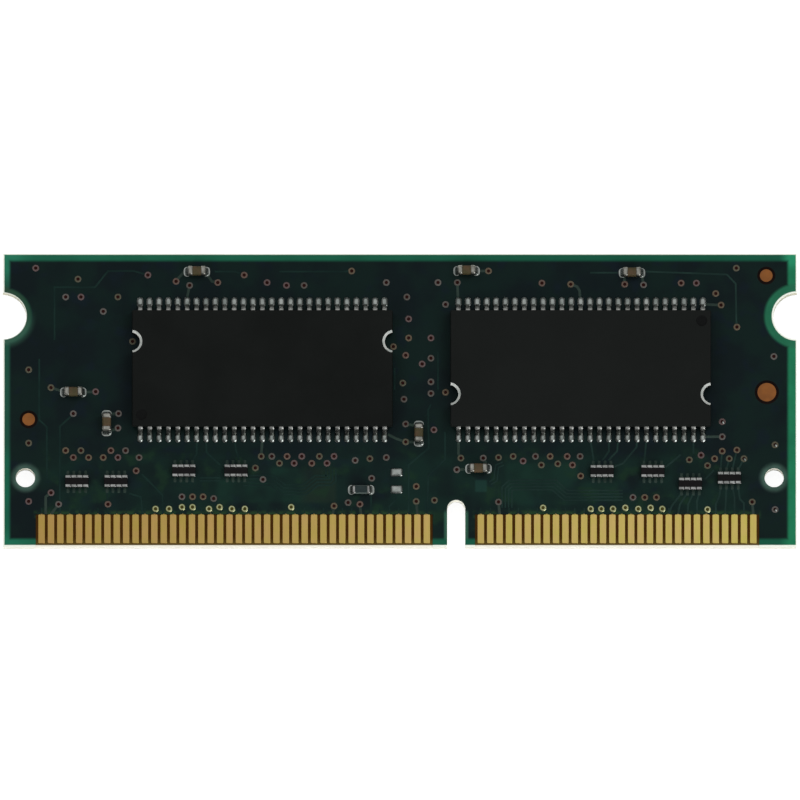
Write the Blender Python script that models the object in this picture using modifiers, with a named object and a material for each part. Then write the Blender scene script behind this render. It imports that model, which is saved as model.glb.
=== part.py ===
"""A small-outline memory card for a portable computer, lying flat with its shown face up.

The card is a bonded stack: two laminate halves with a copper plane between them, gold contact combs
on both outer faces and a solder mask over each face. Four memory chips, a small identity memory,
capacitors, resistor arrays and one link resistor sit on the masks. X runs along the card, Y away from
the contact edge and Z up. The origin is under the middle of the card, on the plane it rests on.
"""

import math
from dataclasses import dataclass

import bmesh
import bpy
from mathutils import Matrix, Vector

MM = 0.001

# Card outline
CARD_LENGTH = 67.60 * MM
CARD_DEPTH = 25.40 * MM
KEY_X = 4.80 * MM                   # centre line of the key slot
KEY_WIDTH = 1.50 * MM
KEY_DEPTH = 4.05 * MM
LATCH_RADIUS = 2.00 * MM            # half-round latch notches in the short sides
LATCH_HEIGHT = 20.00 * MM           # above the contact edge
HOLE_RADIUS = 0.82 * MM
HOLE_SPACING = 63.75 * MM
HOLE_HEIGHT = 6.00 * MM             # above the contact edge
ARC_STEPS = 16                      # straight pieces in a half circle

# Layers of the card
LAMINATE = 0.40 * MM                # each half
COPPER = 0.035 * MM                 # inner plane and contacts
MASK = 0.030 * MM
LAYER_GAP = 0.005 * MM
PLANE_INSET = 0.70 * MM             # from the card's edges to the copper plane
PLANE_CLEARANCE = 0.45 * MM         # round the latch notches, key slot and contacts
PLANE_HOLE_CLEARANCE = 0.25 * MM

# Contacts
CONTACT_PITCH = 0.80 * MM
CONTACT_WIDTH = 0.60 * MM
CONTACT_LENGTH = 2.55 * MM
CONTACT_SETBACK = 0.28 * MM         # from the card's edge to the contacts' ends
LONG_GROUP = (-30.50 * MM, 42)      # first contact's X and count
SHORT_GROUP = (6.90 * MM, 30)
WINDOW_MARGIN = 0.20 * MM           # mask opening beyond the outer contacts
RAIL_COVER = 0.10 * MM              # mask over the contacts before their rail starts
RAIL_WIDTH = 0.30 * MM

# Chips and small parts
STANDOFF = 0.10 * MM                # case above the mask
MOUNT_GAP = 0.02 * MM               # between separate pieces that touch on the real card
MOULD_DRAFT = 0.06 * MM
LEAD_RAIL = (0.75 * MM, 0.45 * MM)  # inner and outer edge of the lead row's rail inside the case
LEAD_SHOULDER = 0.20 * MM           # how far a lead runs level out of the case
LEAD_FOOT = 0.44 * MM
CHANNEL_WIDTH = 1.60 * MM           # from the lead slits to the die pocket
END_NOTCH_OFFSET = 2.28 * MM        # half-round case notches, off the chip's centre line
END_NOTCH_RADII = (0.86 * MM, 1.00 * MM)
END_NOTCH_SETOUT = 0.10 * MM        # centre beyond the case's end
INDEX_MARK = (-10.30 * MM, -4.06 * MM)
INDEX_RADIUS = 0.50 * MM
INDEX_DEPTH = 0.04 * MM

CAPACITOR_SIZE = (1.60 * MM, 0.80 * MM, 0.80 * MM)
LINK_SIZE = (1.60 * MM, 0.80 * MM, 0.45 * MM)
END_CAP = 0.36 * MM
END_CAP_STEP = 0.03 * MM
ARRAY_SIZE = (2.00 * MM, 1.00 * MM, 0.40 * MM)
ARRAY_PITCH = 0.50 * MM
ARRAY_TERMINAL = (0.30 * MM, 0.12 * MM)

# Places on the card, in millimetres from its middle, with the turn in degrees
CHIP_PLACES = [(-11.70, 2.60, 0), (15.40, 2.60, 180)]
EEPROM_PLACE = (1.85, 2.60, 0)
UPPER_CAPACITORS = [(-17.28, 11.12, 0), (5.69, 11.19, 0), (19.77, 11.02, 0), (-27.80, 0.68, 0),
                    (-24.96, -1.99, 90), (1.62, -2.90, 90), (6.70, -5.94, 0)]
UNDER_CAPACITORS = [(-17.28, 11.12, 0), (5.69, 11.19, 0), (19.77, 11.02, 0), (-27.80, 0.68, 0),
                    (-24.96, -1.99, 90), (6.70, -5.94, 0)]
LINK_PLACE = (-3.29, -7.77, 0)
UPPER_ARRAYS = [(-27.50, -7.00, 0), (-24.17, -7.00, 0), (-18.39, -6.08, 0), (-13.95, -6.08, 0),
                (17.22, -6.13, 0), (21.54, -6.13, 0), (24.74, -7.22, 0), (28.06, -6.71, 0)]
UNDER_ARRAYS = [(x, -6.40, 0) for x, _, _ in UPPER_ARRAYS]


@dataclass(frozen=True)
class Package:
    """A moulded chip with a gull-wing lead row along each long side."""
    length: float           # along the lead rows
    width: float
    height: float
    span: float             # toe to toe across both rows
    pins: int               # in each row
    pitch: float
    lead_width: float
    lead_thickness: float
    die: tuple
    end_notches: bool

    @property
    def lead_plane(self):
        """Height of the leads' middle where they leave the case."""
        return STANDOFF + self.height / 2


MEMORY = Package(22.22 * MM, 10.16 * MM, 1.00 * MM, 11.76 * MM, 27, 0.80 * MM, 0.38 * MM, 0.13 * MM,
                 (10.50 * MM, 5.90 * MM, 0.25 * MM), True)
EEPROM = Package(3.00 * MM, 4.40 * MM, 0.90 * MM, 6.40 * MM, 4, 0.65 * MM, 0.24 * MM, 0.12 * MM,
                 (1.40 * MM, 1.20 * MM, 0.22 * MM), False)

# Heights worked out from the layers
UNDER_FACE = STANDOFF + MEMORY.height
CARD_MIDDLE = UNDER_FACE + MASK + LAMINATE + 3 * LAYER_GAP + 1.5 * COPPER
UPPER_FACE = 2 * CARD_MIDDLE - UNDER_FACE
LAMINATE_CENTRE = COPPER / 2 + LAYER_GAP + LAMINATE / 2
CONTACT_CENTRE = LAMINATE_CENTRE + LAMINATE / 2 + LAYER_GAP + COPPER / 2
MASK_CENTRE = CONTACT_CENTRE + COPPER / 2 + LAYER_GAP + MASK / 2
CONTACT_EDGE = -CARD_DEPTH / 2
CONTACT_TOP = CONTACT_EDGE + CONTACT_SETBACK + CONTACT_LENGTH


def finish(name, colour, roughness, metallic=0.0):
    """A plain material with one colour, roughness and metallic value."""
    material = bpy.data.materials.new(name)
    material.use_nodes = True
    shader = material.node_tree.nodes["Principled BSDF"]
    shader.inputs["Base Color"].default_value = (*colour, 1.0)
    shader.inputs["Roughness"].default_value = roughness
    shader.inputs["Metallic"].default_value = metallic
    return material


def add(name, data, material, parent=None):
    """A named object of the card, holding one mesh or curve."""
    obj = bpy.data.objects.new(name, data)
    card.objects.link(obj)
    obj.parent = parent
    if not data.materials:
        data.materials.append(material)
    return obj


def site(name, place, upper):
    """An empty on one face of the card, its own Z pointing away from the card."""
    x, y, turn = place
    empty = bpy.data.objects.new(name, None)
    card.objects.link(empty)
    flip = Matrix.Identity(4) if upper else Matrix.Rotation(math.pi, 4, "Y")
    spot = Vector((x * MM, y * MM, UPPER_FACE if upper else UNDER_FACE))
    empty.matrix_world = Matrix.Translation(spot) @ flip @ Matrix.Rotation(math.radians(turn), 4, "Z")
    return empty


def arc(centre, radius, start, end, steps=ARC_STEPS):
    """Points on a circle from one angle to another, in radians."""
    angles = [start + (end - start) * i / steps for i in range(steps + 1)]
    return [(centre[0] + radius * math.cos(a), centre[1] + radius * math.sin(a)) for a in angles]


def window(group, inset, margin, top):
    """Three-sided opening in a layer's lower edge, round one contact group."""
    first, count = group
    left = first - CONTACT_WIDTH / 2 - margin
    right = first + (count - 1) * CONTACT_PITCH + CONTACT_WIDTH / 2 + margin
    bottom = CONTACT_EDGE + inset
    return [(left, bottom), (left, top), (right, top), (right, bottom)]


def layer_outlines(inset=0.0, clearance=0.0, hole_clearance=0.0, window_margin=0.0, window_top=None):
    """Outline and two holes of one flat layer of the card, drawn in from the card's own edges."""
    right = CARD_LENGTH / 2 - inset
    top = CARD_DEPTH / 2 - inset
    bottom = CONTACT_EDGE + inset
    notch = LATCH_RADIUS + clearance
    notch_y = CONTACT_EDGE + LATCH_HEIGHT
    reach = math.acos(inset / notch)
    slot = KEY_WIDTH / 2 + clearance
    slot_centre = (KEY_X, CONTACT_EDGE + KEY_DEPTH - KEY_WIDTH / 2)
    windows = [[], []]
    if window_top is not None:
        windows = [window(group, inset, window_margin, window_top) for group in (LONG_GROUP, SHORT_GROUP)]

    edge = [(-right, bottom), *windows[0], (KEY_X - slot, bottom)]
    edge += arc(slot_centre, slot, math.pi, 0.0)
    edge += [(KEY_X + slot, bottom), *windows[1], (right, bottom)]
    edge += arc((CARD_LENGTH / 2, notch_y), notch, math.pi + reach, math.pi - reach)
    edge += [(right, top), (-right, top)]
    edge += arc((-CARD_LENGTH / 2, notch_y), notch, reach, -reach)
    holes = []
    for side in (-1, 1):
        centre = (side * HOLE_SPACING / 2, CONTACT_EDGE + HOLE_HEIGHT)
        holes.append(arc(centre, HOLE_RADIUS + hole_clearance, 0.0, math.tau, 2 * ARC_STEPS)[:-1])
    return [edge, *holes]


def contact_outline(group):
    """A comb: the contacts of one group, joined by a rail that lies under the mask."""
    first, count = group
    tip = CONTACT_EDGE + CONTACT_SETBACK
    rail = CONTACT_TOP + RAIL_COVER
    points = []
    for i in range(count):
        left = first + i * CONTACT_PITCH - CONTACT_WIDTH / 2
        right = left + CONTACT_WIDTH
        points += [(left, rail), (left, tip), (right, tip), (right, rail)]
    points += [(points[-1][0], rail + RAIL_WIDTH), (points[0][0], rail + RAIL_WIDTH)]
    return points


def array_outline():
    """A resistor array from above: four terminals stand out of each long side."""
    length, width, _ = ARRAY_SIZE
    terminal, depth = ARRAY_TERMINAL
    points = []
    for side in (-1, 1):
        body = side * (width / 2 - depth)
        points.append((side * -length / 2, body))
        for i in range(4):
            x = side * (i - 1.5) * ARRAY_PITCH
            near, far = x - side * terminal / 2, x + side * terminal / 2
            points += [(near, body), (near, side * width / 2), (far, side * width / 2), (far, body)]
        points.append((side * length / 2, body))
    return points


def flat_curve(name, outlines, thickness):
    """Closed outlines filled and given a thickness, the first one cut by the others inside it."""
    curve = bpy.data.curves.new(name, "CURVE")
    curve.dimensions = "2D"
    curve.fill_mode = "BOTH"
    curve.extrude = thickness / 2
    for points in outlines:
        spline = curve.splines.new("POLY")
        spline.points.add(len(points) - 1)
        for point, (x, y) in zip(spline.points, points):
            point.co = (x, y, 0.0, 1.0)
        spline.use_cyclic_u = True
    return curve


def mesh_of(name, bm):
    """A mesh from a finished bmesh."""
    mesh = bpy.data.meshes.new(name)
    bm.to_mesh(mesh)
    bm.free()
    return mesh


def box(name, size, centre):
    """A box mesh of a given size about a centre."""
    bm = bmesh.new()
    bmesh.ops.create_cube(bm, size=1.0, matrix=Matrix.LocRotScale(Vector(centre), None, Vector(size)))
    return mesh_of(name, bm)


def cone(name, lower_radius, upper_radius, height, centre):
    """An upright tapered plug about a centre."""
    bm = bmesh.new()
    bmesh.ops.create_cone(bm, cap_ends=True, segments=2 * ARC_STEPS, radius1=lower_radius,
                          radius2=upper_radius, depth=height, matrix=Matrix.Translation(centre))
    return mesh_of(name, bm)


def slice_and_scale(bm, axis, cuts, scale):
    """Cut a mesh across an axis, then scale across it the points for which scale gives a factor."""
    normal = Vector((axis == 0, axis == 1, axis == 2))
    for cut in cuts:
        everything = bm.verts[:] + bm.edges[:] + bm.faces[:]
        bmesh.ops.bisect_plane(bm, geom=everything, plane_co=normal * cut, plane_no=normal)
    for vert in bm.verts:
        vert.co = scale(vert.co)


def cut_mesh(name, mesh, cutters):
    """The mesh with every cutter taken out of it."""
    body = bpy.data.objects.new(name, mesh)
    bench.objects.link(body)
    tools = []
    for cutter in cutters:
        tool = bpy.data.objects.new(cutter.name, cutter)
        bench.objects.link(tool)
        tools.append(tool)
        cut = body.modifiers.new(cutter.name, "BOOLEAN")
        cut.operation = "DIFFERENCE"
        cut.object = tool
    depsgraph = bpy.context.evaluated_depsgraph_get()
    result = bpy.data.meshes.new_from_object(body.evaluated_get(depsgraph))
    result.name = name
    for obj in (body, *tools):
        bpy.data.objects.remove(obj)
    return result


def case_mesh(name, chip):
    """A drafted moulding, slit along both sides for its leads and hollowed for its die."""
    bm = bmesh.new()
    bmesh.ops.create_cube(bm, size=1.0, matrix=Matrix.Diagonal((chip.length, chip.width, chip.height, 1.0)))

    def draft(co):
        inset = MOULD_DRAFT * abs(co.z) / (chip.height / 2)
        return Vector((co.x - math.copysign(inset, co.x), co.y - math.copysign(inset, co.y), co.z))

    slice_and_scale(bm, 2, [0.0], draft)
    bmesh.ops.translate(bm, verts=bm.verts[:], vec=(0.0, 0.0, chip.lead_plane))

    slit_height = chip.lead_thickness + 2 * MOUNT_GAP
    slit_length = (chip.pins - 1) * chip.pitch + chip.lead_width + 2 * MOUNT_GAP
    slit_inner = chip.width / 2 - LEAD_RAIL[0] - MOUNT_GAP
    slit_outer = chip.width / 2 + LEAD_SHOULDER
    cutters = []
    for side in (-1, 1):
        centre = (0.0, side * (slit_inner + slit_outer) / 2, chip.lead_plane)
        cutters.append(box("lead_slit", (slit_length, slit_outer - slit_inner, slit_height), centre))
    die_length, die_width, die_height = chip.die
    pocket = (die_length + 2 * MOUNT_GAP, die_width + 2 * MOUNT_GAP, die_height + 2 * MOUNT_GAP)
    cutters.append(box("die_pocket", pocket, (0.0, 0.0, die_centre(chip))))
    channel = (CHANNEL_WIDTH, 2 * slit_inner + 2 * MOUNT_GAP, slit_height - MOUNT_GAP)
    cutters.append(box("lead_channel", channel, (0.0, 0.0, chip.lead_plane)))
    if chip.end_notches:
        for side in (-1, 1):
            centre = (side * (chip.length / 2 + END_NOTCH_SETOUT), END_NOTCH_OFFSET, chip.lead_plane)
            cutters.append(cone("end_notch", *END_NOTCH_RADII, chip.height + STANDOFF, centre))
        mark = (*INDEX_MARK, STANDOFF + chip.height)
        cutters.append(cone("index_mark", INDEX_RADIUS, INDEX_RADIUS, 2 * INDEX_DEPTH, mark))
    return cut_mesh(name, mesh_of(name, bm), cutters)


def die_centre(chip):
    """Height of the die's middle: its top sits at the leads' middle."""
    return chip.lead_plane - chip.die[2] / 2


def lead_row_mesh(name, chip):
    """One sheet of leads: level out of the case, down to the card and flat along it, joined by a rail."""
    side = chip.width / 2
    foot = MOUNT_GAP + chip.lead_thickness / 2
    path = [(side - LEAD_RAIL[0], chip.lead_plane), (side - LEAD_RAIL[1], chip.lead_plane),
            (side + LEAD_SHOULDER, chip.lead_plane), (chip.span / 2 - LEAD_FOOT, foot), (chip.span / 2, foot)]
    columns = 2 * chip.pins - 1
    rows = len(path) - 1
    bm = bmesh.new()
    bmesh.ops.create_grid(bm, x_segments=columns, y_segments=rows, size=0.5)
    gaps = []
    for face in bm.faces:
        middle = face.calc_center_median()
        column = int((middle.x + 0.5) * columns)
        row = int((middle.y + 0.5) * rows)
        if column % 2 == 1 and row > 0:
            gaps.append(face)
    bmesh.ops.delete(bm, geom=gaps, context="FACES")
    for vert in bm.verts:
        column = round((vert.co.x + 0.5) * columns)
        y, z = path[round((vert.co.y + 0.5) * rows)]
        pin_x = (column // 2 - (chip.pins - 1) / 2) * chip.pitch
        edge = chip.lead_width / 2 if column % 2 else -chip.lead_width / 2
        vert.co = (pin_x + edge, y, z)
    return mesh_of(name, bm)


def ended_mesh(name, size):
    """A two-ended chip part: its tinned ends stand a little proud of its body."""
    length, width, height = size
    bm = bmesh.new()
    bmesh.ops.create_cube(bm, size=1.0, matrix=Matrix.Diagonal((*size, 1.0)))
    cap = length / 2 - END_CAP
    waist = cap - END_CAP_STEP

    def narrow(co):
        if abs(co.x) > waist + END_CAP_STEP / 2:
            return co.copy()
        across = Vector((0.0, math.copysign(END_CAP_STEP, co.y), math.copysign(END_CAP_STEP, co.z)))
        return co - across

    slice_and_scale(bm, 0, [-cap, -waist, waist, cap], narrow)
    bmesh.ops.translate(bm, verts=bm.verts[:], vec=(0.0, 0.0, height / 2 + MOUNT_GAP))
    return mesh_of(name, bm)


def build_card():
    """The bonded layers of the card and its contact combs."""
    middle = bpy.data.objects.new("card_middle", None)
    card.objects.link(middle)
    middle.location.z = CARD_MIDDLE
    plane = layer_outlines(PLANE_INSET, PLANE_CLEARANCE, PLANE_HOLE_CLEARANCE, PLANE_CLEARANCE,
                           CONTACT_TOP + PLANE_CLEARANCE)
    add("ground_plane", flat_curve("ground_plane", plane, COPPER), bare_copper, middle)
    groups = {"long": LONG_GROUP, "short": SHORT_GROUP}
    laminate = flat_curve("laminate", layer_outlines(), LAMINATE)
    mask = flat_curve("solder_mask", layer_outlines(window_margin=WINDOW_MARGIN, window_top=CONTACT_TOP), MASK)
    combs = {name: flat_curve(f"contacts_{name}", [contact_outline(group)], COPPER)
             for name, group in groups.items()}
    for face, side in (("upper", 1), ("under", -1)):
        add(f"laminate_{face}", laminate, glass_laminate, middle).location.z = side * LAMINATE_CENTRE
        add(f"solder_mask_{face}", mask, green_mask, middle).location.z = side * MASK_CENTRE
        for name, comb in combs.items():
            add(f"contacts_{face}_{name}", comb, gold, middle).location.z = side * CONTACT_CENTRE


def build_chip(name, chip, meshes, place, upper):
    """One chip: case, die and its two lead rows, on one face of the card."""
    case, leads, die = meshes
    spot = site(name, place, upper)
    add(f"{name}_case", case, black_moulding, spot)
    add(f"{name}_die", die, silicon, spot)
    for row, turn in (("far", 0.0), ("near", math.pi)):
        obj = add(f"{name}_leads_{row}", leads, tinned_lead, spot)
        obj.rotation_euler.z = turn
        thickness = obj.modifiers.new("sheet_thickness", "SOLIDIFY")
        thickness.thickness = chip.lead_thickness
        thickness.offset = 0.0
        thickness.use_even_offset = True


def chip_meshes(name, chip):
    """Case, lead row and die of one kind of chip."""
    return (case_mesh(f"{name}_case", chip), lead_row_mesh(f"{name}_leads", chip),
            box(f"{name}_die", chip.die, (0.0, 0.0, die_centre(chip))))


def build_chips():
    """Four memory chips, two on each face, and the identity memory on the under face."""
    memory = chip_meshes("memory", MEMORY)
    number = 0
    for upper in (True, False):
        for place in CHIP_PLACES:
            number += 1
            build_chip(f"memory_{number}", MEMORY, memory, place, upper)
    build_chip("eeprom", EEPROM, chip_meshes("eeprom", EEPROM), EEPROM_PLACE, False)


def build_small_parts():
    """Capacitors, resistor arrays and the link resistor."""
    capacitor = ended_mesh("capacitor", CAPACITOR_SIZE)
    array = flat_curve("resistor_array", [array_outline()], ARRAY_SIZE[2])
    faces = ((True, UPPER_CAPACITORS, UPPER_ARRAYS), (False, UNDER_CAPACITORS, UNDER_ARRAYS))
    capacitors = 0
    arrays = 0
    for upper, capacitor_places, array_places in faces:
        for place in capacitor_places:
            capacitors += 1
            name = f"capacitor_{capacitors:02d}"
            add(name, capacitor, ceramic, site(f"{name}_site", place, upper))
        for place in array_places:
            arrays += 1
            name = f"resistor_array_{arrays:02d}"
            obj = add(name, array, black_glaze, site(f"{name}_site", place, upper))
            obj.location.z = ARRAY_SIZE[2] / 2 + MOUNT_GAP
    link = ended_mesh("link_resistor", LINK_SIZE)
    add("link_resistor", link, black_glaze, site("link_resistor_site", LINK_PLACE, True))


for old in list(bpy.data.objects):
    bpy.data.objects.remove(old)
card = bpy.data.collections.new("memory_card")
bench = bpy.data.collections.new("cutters")
for collection in (card, bench):
    bpy.context.scene.collection.children.link(collection)

green_mask = finish("green_mask", (0.008, 0.022, 0.018), 0.30)
glass_laminate = finish("glass_laminate", (0.14, 0.26, 0.11), 0.60)
bare_copper = finish("bare_copper", (0.52, 0.16, 0.04), 0.35, 1.0)
gold = finish("gold", (0.55, 0.37, 0.11), 0.30, 1.0)
black_moulding = finish("black_moulding", (0.011, 0.012, 0.011), 0.55)
tinned_lead = finish("tinned_lead", (0.42, 0.41, 0.39), 0.35, 1.0)
silicon = finish("silicon", (0.10, 0.10, 0.12), 0.20, 0.3)
ceramic = finish("ceramic", (0.27, 0.19, 0.12), 0.55)
black_glaze = finish("black_glaze", (0.014, 0.013, 0.013), 0.35)

build_card()
build_chips()
build_small_parts()
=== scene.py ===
"""The looks of a small-outline memory card: the finish of each layer, its leads, solder, vias and tracks.

Lengths are in millimetres until a mesh is made. X runs along the card, Y away from its contact edge and Z
up. A shape is worked out as if it lay on the upper face, its own Z pointing away from the card. It is then
turned, flipped over where it belongs to the under face, and set on its spot.
"""

import math
from collections import namedtuple

import bmesh
import bpy
import numpy as np
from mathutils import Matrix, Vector
from mathutils.geometry import tessellate_polygon


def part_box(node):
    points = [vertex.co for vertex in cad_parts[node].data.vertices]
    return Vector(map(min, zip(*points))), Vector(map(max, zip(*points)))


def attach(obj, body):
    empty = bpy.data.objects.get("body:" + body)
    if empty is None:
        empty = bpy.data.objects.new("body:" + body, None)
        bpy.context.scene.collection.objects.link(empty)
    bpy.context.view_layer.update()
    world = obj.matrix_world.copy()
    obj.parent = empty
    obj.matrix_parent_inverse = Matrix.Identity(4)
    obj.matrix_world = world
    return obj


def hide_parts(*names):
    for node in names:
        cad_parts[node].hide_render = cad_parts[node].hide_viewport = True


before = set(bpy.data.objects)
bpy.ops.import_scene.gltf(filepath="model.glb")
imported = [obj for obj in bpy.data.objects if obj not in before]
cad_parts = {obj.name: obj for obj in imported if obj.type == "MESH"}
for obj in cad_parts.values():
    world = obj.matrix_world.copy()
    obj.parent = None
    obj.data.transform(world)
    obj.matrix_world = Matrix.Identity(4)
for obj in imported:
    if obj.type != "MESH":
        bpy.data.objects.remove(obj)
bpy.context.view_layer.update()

MM = 0.001
FACES = ((True, "upper"), (False, "under"))     # whether a face is the upper one, and its name
SINK = 0.004                        # how deep the foot of a shape on a face lies in the mask
WELD_DISTANCE = 0.0005


def node_box(name):
    """Lowest and highest corner of a node of the frame, in millimetres."""
    return tuple(np.array(corner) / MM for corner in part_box(name))


# The card, as the frame has it
CARD_LOW, CARD_HIGH = node_box("laminate_upper")
UPPER_FACE = node_box("solder_mask_upper")[1][2]
UNDER_FACE = node_box("solder_mask_under")[0][2]
CARD_MIDDLE = (UPPER_FACE + UNDER_FACE) / 2
KEY_X = 4.80                        # centre line of the key slot
KEY_WIDTH = 1.50
KEY_STRAIGHT_TOP = -9.40            # where the slot's round end begins
KEY_STEPS = 12
LATCH_Y = 7.30
LATCH_RADIUS = 2.00
LATCH_STEPS = 24
HOLE_X = 31.875
HOLE_Y = -6.70
HOLE_RADIUS = 0.82
HOLE_SIDES = 32

# Solder mask: how far the copper plane stays from each edge, where the card lets light through
BORDERS = (0.58, 0.76, 0.69, 0.62, 0.42, 0.76)   # left, right, near and far edge, left and right notch
BORDER_SOFTNESS = 0.17
NOTCH_SPILL = 1.0                   # how far light spreads at the near side of the left notch
BORDER_KEY = 0.26
BORDER_KEY_SOFTNESS = 0.12
HOLE_HALO = 0.62
SAWN_EDGES = (0.13, 0.08, 0.17, 0.09, 0.04, 0.13)   # strip of bare laminate at the sawn edge, in the same order; its near white is painted light coming through the edge
SAWN_SOFTNESS = 0.04
SAWN_WALL = 0.02                    # the same at the walls of the key slot and, under the mask, of the holes
SAWN_WALL_SOFTNESS = 0.008
BARE_WINDOW = ((6.32, -8.03), (7.51, -6.81))     # paler patch with no copper under it
ROUTED_ZONES = [((-15.80, -9.10), (-10.00, -6.60)), ((-11.20, -9.10), (-5.20, -5.60)),
                ((8.80, -9.30), (15.40, -5.20)), ((14.60, -9.00), (18.80, -6.90))]     # closely spaced tracks
CLOTH_WAVE = 11.0                   # radians a millimetre: the glass cloth, felt through the mask
PLY_WAVE = 23.0                     # and the plies of the laminate, seen at its walls
BOND_INSET = 0.004                  # resin line between the two halves, in from the walls
BOND_WIDTH = 0.12
BOND_OVERLAP = 0.002                # into each half

# Contacts
CONTACT_PITCH = 0.80
CONTACT_SIZE = (0.565, 2.50)
CONTACT_CORNER = 0.10
CONTACT_NECK = (0.16, 0.10)
CONTACT_SETBACK = 0.33
CONTACT_THICKNESS = 0.035
CONTACTS = {"long": -30.50 + np.arange(42) * CONTACT_PITCH,      # X of each contact of a group
            "short": 6.90 + np.arange(30) * CONTACT_PITCH}
CONTACT_Y = CARD_LOW[1] + CONTACT_SETBACK + CONTACT_SIZE[1] / 2
CONTACT_TOP = CONTACT_Y + CONTACT_SIZE[1] / 2
STUB_LENGTH = 0.55                  # track that leaves every contact's top
STUB_WIDTH = 0.10

# Chips
Chip = namedtuple("Chip", "length width height toe pins pitch lead_width lead_thickness notched")
MEMORY = Chip(22.22, 10.08, 1.00, 5.88, 27, 0.80, 0.38, 0.13, True)
IDENTITY = Chip(3.00, 4.40, 0.90, 3.20, 4, 0.65, 0.24, 0.12, False)
CHIPS = {"memory_1": (MEMORY, 0), "memory_2": (MEMORY, 180), "memory_3": (MEMORY, 0),
         "memory_4": (MEMORY, 180), "eeprom": (IDENTITY, 0)}     # kind and turn in degrees
SEATING = (0.0, 0.035)              # how far the chips sit off the middle of their pads
STANDOFF = 0.10
FOOT_GAP = 0.02
LEAD_ROOT = 0.12                    # how far a lead reaches into its case
LEAD_SHOULDER = 0.09                # level run out of the case before the bend
LEAD_FOOT = 0.34                    # level run at the toe
LEAD_PULL = 0.15                    # how far the bend stays near level at its top and at its foot
LEAD_STATIONS = 7                   # along the bend
LEAD_SIDES = 8
TOE_LENGTH = 0.04                   # rounded end of a lead
TOE_DROP = 0.01
TOE_TAPER = 0.72
FOOT_PADS = {-1: (0.53, 0.90), 1: (0.60, 0.97)}     # solder under a foot of the near and far row
FOOT_PAD_OVERLAP = 0.49             # solder that lies under the foot
FOOT_PAD_HEIGHT = 0.16
FOOT_PAD_CORNER = 0.45              # as a part of its width
FOOT_PAD_RINGS = (0.0, 0.0, 0.2, 0.5, 0.85)     # their places on the way to the middle
FOOT_TAPER = 0.80                   # a lead's width at its foot, as a part of its full width
CASE_CORNER = 0.12
CASE_DRAFT = 0.06                   # how far a wall leans in at its top and foot
CASE_EDGE = 0.03                    # rounding there
CASE_SEAM = 0.04                    # half the upright band between the two halves of the mould
NOTCH_Y = 2.28
NOTCH_SETOUT = 0.10                 # notch centre beyond the case's end
NOTCH_RADIUS = 0.79
NOTCH_FLARE = (0.20, 0.16)          # how far the notch widens at its top, and over what height
NOTCH_STEPS = 16
INDEX_MARK = (-10.30, -4.06)
INDEX_RADIUS = 0.47
INDEX_DEPTH = 0.04
INDEX_SLOPE = 0.05
INDEX_SIDES = 24

# Small parts
END_CAP = 0.42                      # tinned length at each end of a capacitor
LINK_CAP = 0.28                     # and of the link
END_CORNER = 0.18
END_PROFILE = ((0.0, 0.15), (0.015, 0.095), (0.05, 0.045), (0.10, 0.012), (0.15, 0.0))   # way in and inset
CAP_PROFILE = ((-0.03, 0.0), (0.0, 0.012), (0.015, 0.03))    # the same at the cap's edge
LINK_FRAME = 0.11                   # bare ceramic round the link's glaze
GLAZE_GAP = 0.03                    # between the glaze and the tinned ends
FILLET_REACH = 0.34                 # solder beyond an end
FILLET_UNDER = 0.30                 # and under it
FILLET_CORNER = 0.31
FILLET_CLIMB = 0.62                 # part of the end's height that solder climbs
FILLET_CREST = (0.08, 0.03)         # depth and corner of its top
FILLET_LIP = (0.06, 0.05)           # its blunt rim: part of the way and height
FILLET_SWEEP = 3.6                  # power of its hollow climb
FILLET_RINGS = (-0.05, 0.0, 0.06, 0.16, 0.32, 0.46, 0.60, 0.74, 0.88, 1.0)
ARRAY_COUNT = 4                     # terminals along a side
ARRAY_PITCH = 0.50
ARRAY_BODY = 0.62                   # width of the glazed body
ARRAY_TERMINAL = (0.49, 0.27)
ARRAY_ROW = 0.395                   # middle of a row of terminals from the middle of the body
ARRAY_STUB = (0.25, 0.52)           # track that leaves a terminal
ARRAY_STUB_OVERLAP = 0.08
ARRAY_SEATING = (0.0, -0.06)        # how far the arrays sit off the middle of their pads
EMPTY_PADS = [(-0.28, -6.24), (-0.28, -7.72)]
EMPTY_PAD_SIZE = (1.04, 0.72)
EMPTY_PAD_HEIGHT = 0.14
EMPTY_PAD_CORNER = 0.12
MOUND_RINGS = (0.0, 0.0, 0.10, 0.25, 0.45, 0.68, 0.90)
MOUND_POWER = 2.2                   # the higher, the blunter a mound of solder

# Fiducial marks: place and copper radius
FIDUCIALS = [((-31.60, -1.65), 0.54), ((31.20, 10.80), 0.54), ((31.25, 0.70), 0.80)]
FIDUCIAL_RING = 0.24
FIDUCIAL_SIDES = 28
FIDUCIAL_HEIGHT = 0.018
FIDUCIAL_FLOOR = 0.006              # height of the dark ring round it

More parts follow.
